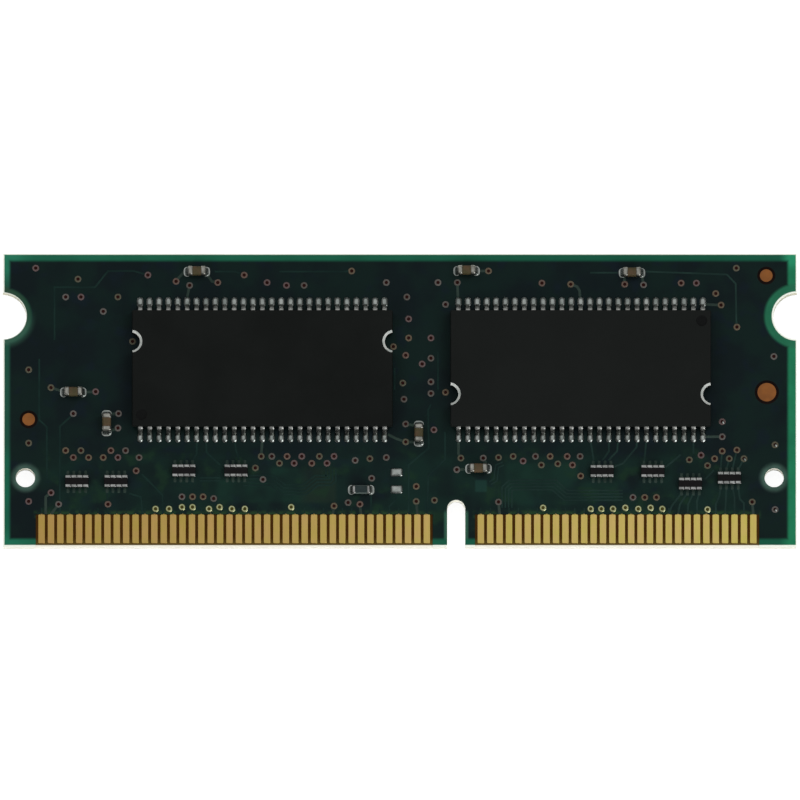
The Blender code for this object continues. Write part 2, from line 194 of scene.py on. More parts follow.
# Vias, by the part of the card that they are in
VIA_RADIUS = 0.30
VIA_HOLE = 0.15
VIA_SIDES = 12
VIA_PROFILE = [(VIA_RADIUS, -SINK), (VIA_RADIUS - 0.03, 0.018), (VIA_RADIUS - 0.09, 0.030),
               (VIA_HOLE + 0.02, 0.022), (VIA_HOLE, 0.014)]
VIA_CLEARANCE = 0.15                # from the parts on the under face
VIA_TINTS = [(78, 76, 72), (92, 76, 68), (90, 80, 64), (78, 78, 63), (86, 84, 81), (89, 74, 74)]
VIA_SEED = 7
VIAS = [
    # Along the top edge
    (-31.00, 11.45), (-27.40, 10.50), (-28.45, 8.95), (-27.15, 8.95), (-24.00, 8.95), (-25.25, 7.70),
    (-21.45, 10.85), (-19.05, 10.30), (-17.90, 9.95), (-15.50, 10.20), (-13.25, 10.85), (-11.30, 10.20),
    (-9.65, 9.95), (-8.15, 9.95), (-4.10, 11.20), (-1.15, 10.20), (0.60, 8.95), (3.25, 10.20),
    (4.90, 10.20), (7.55, 11.20), (3.90, 8.30), (12.10, 10.15), (14.55, 10.05), (19.15, 10.05),
    (20.75, 10.00), (23.95, 10.15), (25.25, 10.15), (26.90, 9.25), (27.35, 8.25), (28.65, 11.45),
    # Left of the chips
    (-22.75, 5.10), (-31.60, 2.65), (-29.70, 1.10), (-25.90, 0.75), (-27.80, -1.15), (-23.95, -1.15),
    (-24.00, -2.40), (-31.60, -3.70),
    # Between the chips
    (-0.55, 4.65), (0.75, 7.05), (0.75, 5.40), (0.50, 3.90), (2.65, 5.40), (2.65, 3.65), (1.90, 3.15),
    (0.25, 1.50), (2.65, 1.60), (2.65, 0.60), (3.90, 0.70), (0.35, 0.10), (0.50, -2.05), (0.50, -3.60),
    (2.90, -2.55),
    # Right of the chips
    (28.70, 6.35), (31.85, 3.80), (27.45, -1.85), (27.45, -3.15), (31.95, -3.85),
    # Round the left arrays
    (-28.45, -4.35), (-27.15, -4.35), (-27.80, -4.95), (-26.50, -4.95), (-25.25, -4.95), (-24.60, -4.35),
    (-24.00, -4.95), (-23.35, -4.35), (-22.20, -4.95), (-22.45, -6.10), (-29.70, -8.00), (-29.05, -9.00),
    (-31.60, -8.75), (-24.85, -9.00), (-18.55, -8.35), (-17.65, -8.35), (-16.75, -8.35), (-15.85, -8.50),
    (-12.30, -5.85), (-11.65, -6.85), (-11.80, -4.85),
    # Under the left chip
    (-10.90, -4.85), (-10.25, -5.45), (-9.60, -4.85), (-9.00, -5.45), (-8.35, -4.85), (-7.50, -5.45),
    (-6.85, -4.85), (-6.20, -5.45), (-5.60, -4.85), (-3.80, -5.20), (-2.55, -5.05), (-1.15, -4.95),
    (-2.40, -6.75), (-5.60, -9.15), (-4.40, -8.85), (-3.40, -9.00),
    # Round the key slot
    (5.20, -5.00), (7.10, -5.00), (8.40, -4.95), (9.65, -4.85), (10.50, -5.25), (4.85, -6.00),
    (1.40, -7.45), (1.40, -8.75), (2.95, -8.65), (8.40, -8.80),
    # Under the right chip
    (11.55, -4.85), (12.05, -5.60), (12.80, -4.85), (13.45, -5.50), (14.25, -4.85), (14.70, -5.60),
    (15.35, -4.85), (15.40, -6.55), (19.85, -8.40), (20.85, -8.40), (21.85, -8.40),
    # Round the right arrays
    (24.65, -5.15), (25.65, -4.75), (26.80, -5.05), (26.20, -5.65), (27.45, -4.40), (28.05, -5.05),
    (28.70, -4.30), (29.30, -5.05), (30.00, -8.80), (31.95, -9.45),
]
PLATED_VIAS = [
    (-20.80, -9.40), (-19.65, -9.40), (-18.55, -9.25), (-17.65, -9.25), (-16.25, -9.40), (-15.35, -9.25),
    (-14.30, -9.40), (-13.20, -9.40), (-9.25, -9.25), (12.20, -9.30), (16.25, -9.40), (17.15, -9.40),
    (18.15, -9.40), (19.20, -9.30), (20.30, -9.40), (21.35, -9.30), (22.35, -9.40), (26.20, -9.45),
]

# Vias with a bead of solder in them
BEADED_VIAS = [(27.45, -1.85), (31.95, -3.85), (29.30, -5.05), (31.95, -9.45)]
BEAD_RADIUS = 0.13
BEAD_CORNER = 0.9 * BEAD_RADIUS
BEAD_HEIGHT = 0.10
BEAD_OFFSET = (0.07, -0.07)

# Tracks: width and route
TRACK_HEIGHT = 0.012
TRACK_TOP = 0.72                    # width of its flat top, as a part of its foot
FINE = 0.17
WIDE = 0.24
TRACKS = [
    # Left end
    (FINE, [(-29.40, 5.25), (-29.40, 9.80), (-25.95, 9.80), (-24.85, 11.20), (-22.65, 11.20),
            (-21.45, 10.85)]),
    (FINE, [(-30.70, 3.60), (-30.70, -1.70), (-30.05, -2.30), (-30.05, -6.75)]),
    (FINE, [(-27.80, -1.20), (-28.95, -2.25), (-28.95, -9.85)]),
    (FINE, [(-21.95, -6.40), (-20.20, -8.20), (-20.20, -9.85)]),
    (FINE, [(-23.05, -8.05), (-22.05, -8.35), (-21.90, -9.85)]),
    (WIDE, [(-29.70, -8.00), (-30.15, -8.35), (-30.15, -9.85)]),
    (WIDE, [(-29.05, -9.00), (-29.70, -9.85)]),
    (FINE, [(-24.95, -7.70), (-24.85, -9.00), (-24.90, -9.85)]),
    (WIDE, [(-28.60, 0.75), (-29.70, 1.10)]),
    (WIDE, [(-27.00, 0.70), (-25.90, 0.75)]),
    (WIDE, [(-24.90, -1.20), (-23.95, -1.15)]),
    (WIDE, [(-24.90, -2.75), (-24.00, -2.40)]),
    # Along the top edge
    (WIDE, [(-19.05, 10.35), (-18.30, 11.20)]),
    (WIDE, [(-17.90, 9.95), (-18.10, 8.95)]),
    (WIDE, [(-16.40, 10.90), (-16.00, 10.30), (-15.50, 10.20)]),
    (FINE, [(-15.75, 11.15), (-13.95, 11.15), (-13.25, 10.85)]),
    (FINE, [(-10.25, 11.15), (-4.85, 11.15), (-4.10, 11.20)]),
    (WIDE, [(4.90, 10.20), (4.95, 8.85)]),
    (WIDE, [(6.50, 11.20), (7.55, 11.20)]),
    (WIDE, [(14.55, 10.05), (15.10, 9.85), (15.30, 9.50), (15.35, 8.85)]),
    (FINE, [(16.20, 11.05), (18.60, 11.05)]),
    (WIDE, [(19.10, 10.90), (19.15, 10.05)]),
    (WIDE, [(20.60, 10.90), (20.75, 10.00)]),
    (FINE, [(20.95, 11.15), (27.85, 10.90), (28.60, 10.10), (28.65, 6.95), (28.70, 6.35)]),
    (WIDE, [(26.05, 8.30), (27.35, 8.25)]),
    # Between the chips
    (WIDE, [(-1.00, -2.95), (-0.35, -3.30), (0.50, -3.60)]),
    (WIDE, [(1.50, -2.20), (0.50, -2.05)]),
    (WIDE, [(1.50, -3.60), (0.50, -3.60)]),
    (FINE, [(-0.45, 2.80), (-0.45, 0.90)]),
    (FINE, [(3.25, 4.20), (3.25, 0.90)]),
    (FINE, [(2.65, -0.35), (2.40, -0.85), (2.45, -4.15), (0.75, -5.60), (0.75, -9.85)]),
    (FINE, [(3.85, -2.75), (3.85, -5.10), (2.40, -6.50), (2.35, -9.85)]),
    # From the left chip down to its arrays
    (FINE, [(-17.30, -3.30), (-17.30, -4.65), (-17.64, -5.20)]),
    (FINE, [(-16.50, -3.30), (-16.45, -4.50), (-15.30, -5.60)]),
    (FINE, [(-14.10, -3.30), (-13.95, -4.30), (-13.70, -5.20)]),
    (WIDE, [(-11.70, -3.30), (-11.80, -4.85)]),
    (FINE, [(-17.00, -6.70), (-15.30, -6.70)]),
    (FINE, [(-17.00, -6.95), (-15.30, -6.95)]),
    # Link, empty pads and key slot
    (FINE, [(-0.28, -8.05), (-0.35, -8.60), (-0.90, -9.15), (-0.90, -9.85)]),
    (FINE, [(-2.45, -8.20), (-2.45, -9.85)]),
    (WIDE, [(-5.60, -9.15), (-5.70, -9.85)]),
    (WIDE, [(-3.40, -9.00), (-3.30, -9.85)]),
    (WIDE, [(1.40, -8.75), (1.50, -9.85)]),
    (WIDE, [(8.40, -8.80), (8.50, -9.85)]),
    (WIDE, [(5.00, -3.30), (5.00, -4.65), (5.20, -5.00)]),
    (WIDE, [(5.95, -5.95), (4.85, -6.00)]),
    (WIDE, [(7.40, -5.60), (7.10, -5.00)]),
    # From the right chip down to its arrays
    (FINE, [(16.20, -3.30), (16.40, -4.50), (16.50, -5.20)]),
    (FINE, [(17.80, -3.30), (17.80, -4.40), (17.25, -5.20)]),
    (FINE, [(18.60, -3.30), (18.50, -4.40), (17.75, -5.20)]),
    (FINE, [(20.20, -3.30), (20.15, -4.05), (19.00, -5.45), (18.10, -5.80)]),
    (FINE, [(21.00, -3.30), (20.90, -4.50), (20.80, -5.35)]),
    (FINE, [(23.90, -4.70), (22.60, -5.80)]),
    (FINE, [(25.00, -3.30), (25.00, -4.65)]),
    (WIDE, [(26.05, -3.15), (27.45, -3.15)]),
    (FINE, [(26.75, -6.05), (26.00, -6.80)]),
    (FINE, [(27.31, -6.00), (27.45, -4.40)]),
    (FINE, [(27.81, -6.00), (28.05, -5.05)]),
    (FINE, [(28.31, -6.00), (28.70, -4.30)]),
    (FINE, [(28.81, -6.00), (29.30, -5.05)]),
    # From the right arrays down to their contacts
    (FINE, [(24.00, -8.00), (23.15, -9.15), (22.90, -9.85)]),
    (FINE, [(24.50, -8.00), (23.85, -9.00), (23.70, -9.85)]),
    (FINE, [(25.00, -8.00), (24.55, -9.00), (24.50, -9.85)]),
    (FINE, [(25.50, -8.00), (25.30, -8.75), (25.30, -9.85)]),
    (FINE, [(27.31, -7.50), (27.20, -8.30), (26.90, -9.00), (26.90, -9.85)]),
    (FINE, [(27.81, -7.50), (27.70, -9.85)]),
    (FINE, [(28.31, -7.50), (28.50, -8.40), (28.50, -9.85)]),
    (FINE, [(28.81, -7.50), (28.95, -8.55), (29.30, -8.90), (29.30, -9.85)]),
    (WIDE, [(30.00, -8.80), (30.10, -9.85)]),
]
# Bundles of parallel tracks: count and the route of the leftmost one
BUNDLE_SPACING = 0.28
BUNDLE_SLIMNESS = 0.8               # their width and height, as a part of a fine track's
STUB_SLIMNESS = 0.6                 # the height of a contact's stub, likewise
BUNDLES = [
    (4, [(-5.45, -5.95), (-5.45, -7.00), (-5.80, -7.35), (-6.95, -7.35), (-7.95, -8.15), (-10.05, -8.15),
         (-11.05, -7.35), (-13.40, -7.35)]),
    (4, [(8.70, -9.30), (8.70, -7.50), (9.30, -6.90), (13.30, -6.90), (14.30, -7.80), (19.00, -7.80)]),
    (2, [(7.60, -7.05), (8.00, -6.80), (8.15, -5.60), (8.75, -5.35)]),
]

# View and light
VIEW_WIDTH = 68.114
VIEW_TILT = 10.5                    # degrees off straight down, towards the contact edge
VIEW_CENTRE = (0.017, 0.026)        # across and up in the picture, from the upper face's middle
VIEW_DISTANCE = 500.0
SOFT_LIGHT_LEAN = 16.0              # degrees that the overhead light leans away from the contact edge
LAMP_DISTANCE = 420.0
LAMPS = {                           # direction, size, power in watts and whether metal shows it
    "far_right": ((0.62, 0.42, 0.80), 180.0, 0.60, False),
    "near_right": ((0.60, -0.60, 0.55), 280.0, 0.72, True),
    "near_left": ((-0.60, -0.60, 0.50), 180.0, 0.60, False),
    "far_left": ((-0.60, 0.50, 0.75), 180.0, 0.35, False),
    "front": ((0.0, -1.0, 0.14), 120.0, 0.68, False),
}
FLOOR_REACH = 2000.0
FLOOR_GAP = 0.02                    # below the card's lowest point


class Value:
    """A number in a node tree. Arithmetic on it adds Math nodes, and a | b is the larger of the two."""

    def __init__(self, finish, socket):
        self.finish = finish
        self.socket = socket

    def math(self, operation, first, second=0.0):
        """A Math node."""
        return self.finish.node("ShaderNodeMath", {"operation": operation}, {0: first, 1: second})

    def __add__(self, other):
        return self.math("ADD", self, other)

    def __radd__(self, other):
        return self.math("ADD", other, self)

    def __sub__(self, other):
        return self.math("SUBTRACT", self, other)

    def __rsub__(self, other):
        return self.math("SUBTRACT", other, self)

    def __mul__(self, other):
        return self.math("MULTIPLY", self, other)

    def __rmul__(self, other):
        return self.math("MULTIPLY", other, self)

    def __pow__(self, other):
        return self.math("POWER", self, other)

    def __or__(self, other):
        return self.math("MAXIMUM", self, other)

    def __abs__(self):
        return self.math("ABSOLUTE", self)

    def sine(self):
        """Its sine, taken as an angle in radians."""
        return self.math("SINE", self)

    def floor(self):
        """The whole number at or below it."""
        return self.math("FLOOR", self)


class Finish:
    """The node tree of a material or of the world, with one method that adds any node."""

    def __init__(self, owner, shader):
        owner.use_nodes = True
        self.owner = owner
        self.tree = owner.node_tree
        self.shader = self.tree.nodes[shader]

    def feed(self, socket, value):
        """Link a value to a socket, or set a plain one on it."""
        if isinstance(value, Value):
            self.tree.links.new(value.socket, socket)
        else:
            socket.default_value = value

    def node(self, kind, settings=None, sockets=None, output=0):
        """A node of a kind: its settings first, then what its sockets hold, and one of its outputs back."""
        made = self.tree.nodes.new(kind)
        for name, value in (settings or {}).items():
            setattr(made, name, value)
        for key, value in (sockets or {}).items():
            self.feed(made.inputs[key], value)
        return Value(self, made.outputs[output])

    def set(self, **sockets):
        """Fill sockets of the shader, named with low lines for spaces."""
        for name, value in sockets.items():
            self.feed(self.shader.inputs[name.replace("_", " ")], value)

    def place(self):
        """X, Y and Z on the card, in millimetres."""
        point = self.node("ShaderNodeTexCoord", output="Object")
        axes = [self.node("ShaderNodeSeparateXYZ", {}, {0: point}, output) for output in range(3)]
        return [axis * (1 / MM) for axis in axes]

    def noise(self, size, detail=2.0):
        """Cloudy values about one half, in patches of a size in millimetres."""
        point = self.node("ShaderNodeTexCoord", output="Object")
        sockets = {"Vector": point, "Scale": 1 / (size * MM), "Detail": detail}
        return self.node("ShaderNodeTexNoise", {}, sockets)

    def ramp(self, value, start, end, low=0.0, high=1.0):
        """Low up to start, high from end on and a smooth step between them."""
        return self.node("ShaderNodeMapRange", {"interpolation_type": "SMOOTHSTEP"},
                         {0: value, 1: start, 2: end, 3: low, 4: high})

    def cloud(self, size, detail, start, end, low=0.0, high=1.0):
        """Noise cut clearer: low up to its value start and high from end on."""
        return self.ramp(self.noise(size, detail), start, end, low, high)

    def mix(self, factor, first, second):
        """The first colour at factor 0, the second at 1."""
        return self.node("ShaderNodeMix", {"data_type": "RGBA"}, {0: factor, 6: first, 7: second}, 2)

    def bump(self, height, depth):
        """Surface relief: height 1 stands a depth in millimetres above height 0."""
        return self.node("ShaderNodeBump", {}, {"Strength": 1.0, "Distance": depth * MM, "Height": height})

    def dress(self, tone, roughness, grain, **others):
        """Fill the shader and give the material back.

        roughness has its patches' size, its spread and its lowest value, and grain the size, detail and depth
        of the relief.
        """
        patch, spread, lowest = roughness
        size, detail, depth = grain
        self.set(Base_Color=tone, Roughness=self.noise(patch) * spread + lowest,
                 Normal=self.bump(self.noise(size, detail), depth), **others)
        return self.owner


def srgb(red, green, blue):
    """A colour given as it looks on screen, from 0 to 255, as linear light."""
    screen = np.array([red, green, blue]) / 255
    light = np.where(screen <= 0.04045, screen / 12.92, ((screen + 0.055) / 1.055) ** 2.4)
    return (*light.tolist(), 1.0)


def new_finish(name):
    """A material with a plain shader."""
    return Finish(bpy.data.materials.new(name), "Principled BSDF")


def past_circle(x, y, centre, radius):
    """How far a point is outside a circle: its distance from the centre, less the radius."""
    return ((x - centre[0]) ** 2.0 + (y - centre[1]) ** 2.0) ** 0.5 - radius


def outline_distances(x, y):
    """How far a point is in from the left, right, near and far edge and from the two latch notches."""
    inward = [x - CARD_LOW[0], CARD_HIGH[0] - x, y - CARD_LOW[1], CARD_HIGH[1] - y]
    return inward + [past_circle(x, y, (side, LATCH_Y), LATCH_RADIUS) for side in (CARD_LOW[0], CARD_HIGH[0])]


def opening_distances(x, y):
    """How far a point is from the walls of the left hole, the right hole and the round-ended key slot."""
    away = [past_circle(x, y, (side, HOLE_Y), HOLE_RADIUS) for side in (-HOLE_X, HOLE_X)]
    past = (y - KEY_STRAIGHT_TOP) | 0.0
    return away + [past_circle(x, past, (KEY_X, 0.0), KEY_WIDTH / 2)]


def zones(finish, x, y, corners, softness):
    """Factor 1 inside any of some rectangles, each given by its lowest and highest corner."""
    factor = 0.0
    for low, high in corners:
        across = finish.ramp(x, low[0], low[0] + softness) * finish.ramp(x, high[0], high[0] - softness)
        along = finish.ramp(y, low[1], low[1] + softness) * finish.ramp(y, high[1], high[1] - softness)
        factor = across * along | factor
    return factor


def band(finish, distances, widths, softness):
    """Factor 1 where any of the distances is below its width."""
    factor = 0.0
    for distance, width in zip(distances, widths):
        factor = finish.ramp(distance, width - softness, width + softness, 1.0, 0.0) | factor
    return factor


def solder_mask():
    """Dark green film, nearly black over copper and bright green where light comes through the card's rim."""
    finish = new_finish("solder_mask")
    x, y, _ = finish.place()

    # Over the copper plane, with bluer patches
    cloud = finish.cloud(3.5, 3.0, 0.38, 0.62)
    tone = finish.mix(cloud, srgb(13, 23, 25), srgb(14, 29, 27))
    tint = finish.cloud(1.6, 2.0, 0.56, 0.72)
    tone = finish.mix(tint * 0.6, tone, srgb(15, 25, 33))

    # Below the chips, where closely spaced tracks tint the film
    inside = finish.ramp(x, 30.8, 28.8) * finish.ramp(x, -31.2, -29.4)
    routed = zones(finish, x, y, ROUTED_ZONES, 0.5)
    patchy = finish.cloud(2.4, 2.0, 0.30, 0.66)
    tone = finish.mix(finish.ramp(y, -4.4, -5.4) * patchy * inside * 0.45, tone, srgb(19, 44, 37))
    lines = finish.mix(finish.ramp(abs(x + 6.5), 2.5, 1.0), srgb(20, 45, 37), srgb(27, 40, 32))
    tone = finish.mix(routed * (patchy * 0.4 + 0.30), tone, lines)
    greener = finish.ramp(y, -3.8, -4.8) * finish.cloud(1.8, 3.0, 0.54, 0.70) * inside
    tone = finish.mix(greener * 0.6, tone, srgb(23, 46, 31))

    # The window with no copper, the contacts' tops, the holes and the key slot
    tone = finish.mix(zones(finish, x, y, [BARE_WINDOW], 0.2) * 0.7, tone, srgb(26, 54, 48))
    tops = [((places[0] - CONTACT_PITCH, CONTACT_TOP - 0.5), (places[-1] + CONTACT_PITCH, CONTACT_TOP + 0.45))
            for places in CONTACTS.values()]
    beside = zones(finish, x, y, tops, 0.35)
    tone = finish.mix(beside * finish.cloud(0.5, 2.0, 0.35, 0.65) * 0.7, tone, srgb(36, 62, 36))
    openings = opening_distances(x, y)
    halo = band(finish, openings[:2], [HOLE_HALO / 2] * 2, HOLE_HALO / 2)
    halo = halo * finish.cloud(0.9, 3.0, 0.25, 0.65, 0.6, 1.0)
    tone = finish.mix(halo, tone, srgb(64, 90, 80))
    beside_key = band(finish, openings[2:], [BORDER_KEY], BORDER_KEY_SOFTNESS)
    beside_key = beside_key * finish.ramp(y, KEY_STRAIGHT_TOP, KEY_STRAIGHT_TOP - 0.5)
    tone = finish.mix(beside_key, tone, srgb(46, 84, 68))

    # The rim beyond the copper plane: its tones along the edges and round the notches
    outline = outline_distances(x, y)
    rim = finish.mix(finish.ramp(x, -25.0, 25.0), srgb(27, 92, 69), srgb(21, 80, 60))
    right_rim = finish.mix(finish.ramp(y, 11.0, 12.2), srgb(31, 114, 79), srgb(38, 132, 95))
    rim = finish.mix(finish.ramp(x, 32.2, 33.3), rim, right_rim)
    left_rim = finish.mix(finish.ramp(y, -3.5, -5.5), srgb(30, 74, 60), srgb(24, 90, 68))
    left_rim = finish.mix(finish.ramp(y, 9.8, 11.6), left_rim, srgb(37, 112, 86))
    left_rim = finish.mix(finish.ramp(y, -11.0, -12.2), left_rim, srgb(30, 106, 80))
    rim = finish.mix(finish.ramp(x, -31.0, -33.2), rim, left_rim)
    near_notch = finish.ramp(y, LATCH_Y + 0.5, LATCH_Y - 1.5)
    left_notch = finish.mix(near_notch, srgb(40, 67, 52), srgb(52, 88, 73))
    rim = finish.mix(finish.ramp(outline[4], 0.7, 0.3), rim, left_notch)
    rim = finish.mix(finish.ramp(outline[5], 1.0, 0.6), rim, srgb(36, 102, 74))
    rim = finish.mix(finish.cloud(2.2, 3.0, 0.35, 0.7) * 0.3, rim, srgb(20, 70, 52))

    # That rim, the light it spills, and the strip of bare laminate at the sawn edge painted near white as
    # light coming through it, over the film
    spill = finish.ramp(outline[4], NOTCH_SPILL, 0.2) * finish.ramp(y, LATCH_Y + 1.0, LATCH_Y - 1.6)
    tone = finish.mix(spill * 0.75, tone, srgb(46, 82, 68))
    tone = finish.mix(band(finish, outline, BORDERS, BORDER_SOFTNESS), tone, rim)
    key_wall = band(finish, openings[2:], [SAWN_WALL], SAWN_WALL_SOFTNESS)
    sawn = band(finish, outline, SAWN_EDGES, SAWN_SOFTNESS)
    for strip in (sawn, key_wall):
        tone = finish.mix(strip, tone, srgb(236, 240, 230))

    # Glass cloth and a fine grain, felt through the film
    cloth = (x * CLOTH_WAVE).sine() * (y * CLOTH_WAVE).sine()
    height = cloth * 0.3 + finish.noise(0.25, 3.0)
    finish.set(Base_Color=tone, Roughness=finish.noise(0.8) * 0.16 + 0.34, Specular_IOR_Level=0.06,
               Normal=finish.bump(height, 0.003))
    return finish.owner


def laminate():
    """Glass cloth in resin: brown between the contacts, pale at the sawn edges, its plies just showing. The
    near edge's wall and the walls of the holes and key slot get a whiter copy of the wall tone, painted light
    where they lie in shade.
    """
    finish = new_finish("laminate")
    x, y, z = finish.place()
    outline = outline_distances(x, y)
    tone = finish.mix(finish.noise(0.6, 3.0), srgb(52, 29, 1), srgb(70, 41, 1))
    tone = finish.mix(finish.ramp(outline[2], 0.9, 0.3), tone, srgb(80, 62, 22))
    tone = finish.mix(finish.ramp(y, CONTACT_TOP - 0.05, CONTACT_TOP + 0.05), tone, srgb(26, 40, 32))
    ply = finish.ramp((z * PLY_WAVE).sine(), 0.45, 0.85)
    # A whiter copy of the wall tone is painted light for the walls that lie in shade: the near edge's wall
    # and the walls of the openings
    painted_lit_wall = finish.mix(ply, srgb(250, 249, 242), srgb(214, 209, 184))
    other_wall = finish.mix(ply, srgb(236, 234, 216), srgb(198, 192, 162))
    bored = band(finish, opening_distances(x, y), [SAWN_WALL] * 3, SAWN_WALL_SOFTNESS)
    pale = finish.mix(finish.ramp(outline[2], 0.25, 0.05) | bored, other_wall, painted_lit_wall)
    sawn = band(finish, outline, SAWN_EDGES, SAWN_SOFTNESS) | bored
    tone = finish.mix(sawn, tone, pale)
    return finish.dress(tone, (0.3, 0.2, 0.5), (0.12, 3.0, 0.004), Specular_IOR_Level=0.1)


def metal(name, dark, light, roughness, grain, relief):
    """Bare or plated metal: two tones in clouds, with a roughness and a relief that vary by grain."""
    finish = new_finish(name)
    cloud = finish.cloud(grain * 4, 3.0, 0.3, 0.7)
    tone = finish.mix(cloud, srgb(*dark), srgb(*light))
    return finish.dress(tone, (grain, 0.2, roughness - 0.1), (grain, 3.0, relief), Metallic=1.0)


def gold_plate():
    """Gold over nickel, yellower to the right, a little different on every contact, with fine wipe marks."""
    finish = new_finish("gold_plate")
    x, y, _ = finish.place()
    start = CONTACTS["long"][0] - CONTACT_PITCH / 2
    number = ((x - start) * (1 / CONTACT_PITCH)).floor()
    own = finish.node("ShaderNodeTexWhiteNoise", {"noise_dimensions": "1D"}, {"W": number})
    right = finish.ramp(x, -38.0, 32.0)
    rosy = finish.mix(right, srgb(210, 168, 102), srgb(240, 208, 130))
    yellow = finish.mix(right, srgb(200, 172, 86), srgb(230, 215, 108))
    cloud = finish.cloud(1.1, 3.0, 0.35, 0.7)
    tone = finish.mix(own * 0.5 + cloud * 0.5, rosy, yellow)
    stretched = finish.node("ShaderNodeCombineXYZ", {}, {0: x * 9.0, 1: y * 0.5})
    wipe = finish.node("ShaderNodeTexNoise", {}, {"Vector": stretched, "Scale": 1.0, "Detail": 2.0})
    finish.set(Base_Color=tone, Metallic=1.0, Roughness=wipe * 0.2 + 0.28,
               Normal=finish.bump(wipe, 0.002))
    return finish.owner


def moulding():
    """Black moulding compound with a fine matt grain and faint grey clouds, a little paler on the right."""
    finish = new_finish("moulding")
    x, _, _ = finish.place()
    cloud = finish.cloud(5.0, 4.0, 0.35, 0.7)
    tone = finish.mix(cloud, srgb(18, 20, 19), srgb(21, 23, 22))
    tone = finish.mix(finish.ramp(x, 2.0, 6.0) * 0.5, tone, srgb(26, 28, 27))
    speck = finish.cloud(0.10, 2.0, 0.62, 0.80)
    tone = finish.mix(speck * 0.4, tone, srgb(32, 33, 32))
    return finish.dress(tone, (0.5, 0.2, 0.48), (0.09, 3.0, 0.004), Specular_IOR_Level=0.06)


def coat(name, dark, light, patches, roughness, shine, grain, stops=None):
    """A moulded, fired or glazed surface: two tones in patches, an uneven roughness and a fine relief.

    patches has the size and detail of the tones' clouds, which two stops cut clearer.
    """
    finish = new_finish(name)
    cloud = finish.cloud(*patches, *stops) if stops else finish.noise(*patches)
    tone = finish.mix(cloud, srgb(*dark), srgb(*light))
    return finish.dress(tone, roughness, grain, Specular_IOR_Level=shine)


def via_rim():
    """Mask over a via's rim, in the tint that each via carries."""
    finish = new_finish("via_rim")
    tint = finish.node("ShaderNodeAttribute", {"attribute_name": "tint"}, {}, "Color")
    tone = finish.mix(finish.noise(0.15, 2.0) * 0.5, tint, srgb(66, 54, 48))
    return finish.dress(tone, (0.2, 0.2, 0.3), (0.1, 2.0, 0.002), Specular_IOR_Level=0.15)


def track_film(name, left, right):
    """Mask where it runs over a track, greener and paler than over the plane.

    left and right hold a faint and a clear tone for that end of the card.
    """
    finish = new_finish(name)
    x, _, _ = finish.place()
    across = finish.ramp(x, 0.0, 20.0)
    faint, clear = [finish.mix(across, srgb(*near), srgb(*far)) for near, far in zip(left, right)]
    tone = finish.mix(finish.cloud(2.0, 3.0, 0.3, 0.7), faint, clear)
    return finish.dress(tone, (0.5, 0.15, 0.34), (0.2, 2.0, 0.002), Specular_IOR_Level=0.06)


def silicon():
    """Ground silicon: dark grey with faint grinding lines."""
    finish = new_finish("silicon")
    x, _, _ = finish.place()
    finish.set(Base_Color=finish.mix(finish.noise(1.0), srgb(86, 86, 94), srgb(98, 98, 106)), Metallic=0.3,
               Roughness=finish.noise(0.5) * 0.1 + 0.2, Normal=finish.bump((x * 40.0).sine(), 0.001))
    return finish.owner


class Skin:
    """The closed shapes of one piece: their points, faces, the finish number of each face and any tints."""

    def __init__(self):
        self.points = []
        self.faces = []
        self.finishes = []
        self.tints = []
        self.count = 0

    def loft(self, rings, finish=0, ends=(0, 0), tints=None):
        """Walls between neighbouring rings of one or more tubes, with a flat face over each tube's ends.

        rings[..., i, j] is point j of ring i, and a ring runs anticlockwise seen from the tube's last ring.
        finish is the walls' number, for all of them or for each span and point. ends holds the numbers of the
        first and last face, None for an open end. tints has a colour for each tube.
        """
        rings = np.asarray(rings, float)
        stations, around = rings.shape[-3:-1]
        tubes = rings.reshape(-1, stations * around, 3)
        index = np.arange(stations * around).reshape(stations, around)
        onward = np.roll(index, -1, axis=1)
        walls = np.stack([index[:-1], onward[:-1], onward[1:], index[1:]], axis=-1).reshape(-1, 4)
        starts = self.count + np.arange(len(tubes)) * stations * around
        numbers = np.broadcast_to(finish, (stations - 1, around)).reshape(-1)
        self.faces += (starts[:, None, None] + walls).reshape(-1, 4).tolist()
        self.finishes += np.tile(numbers, len(tubes)).tolist()
        for ring, number in zip((index[0, ::-1], index[-1]), ends):
            if number is not None:
                self.faces += (starts[:, None] + ring).tolist()
                self.finishes += [number] * len(tubes)
        self.points.append(tubes.reshape(-1, 3))
        self.count += tubes.size // 3
        if tints is not None:
            self.tints.append(np.repeat(tints, stations * around, axis=0))

    def plate(self, outer, hole, upper, finish=0):
        """A level face between an outer ring and a hole's ring, cut into triangles that face up or down."""
        loops = [[Vector(point) for point in ring.tolist()] for ring in (outer, hole)]
        triangles = np.array(tessellate_polygon(loops))
        points = np.concatenate([outer, hole])
        first, second, third = np.moveaxis(points[triangles], 1, 0)
        turn = np.cross(second - first, third - first)[:, 2]
        outward = np.where(((turn > 0) == upper)[:, None], triangles, triangles[:, ::-1])
        self.faces += (self.count + outward).tolist()
        self.finishes += [finish] * len(outward)
        self.points.append(points)
        self.count += len(points)


def weld(mesh):
    """Merge the points that two shapes of a mesh share and point every face outwards."""
    bm = bmesh.new()
    bm.from_mesh(mesh)
    bmesh.ops.remove_doubles(bm, verts=bm.verts[:], dist=WELD_DISTANCE * MM)
    bmesh.ops.recalc_face_normals(bm, faces=bm.faces[:])
    bm.to_mesh(mesh)
    bm.free()


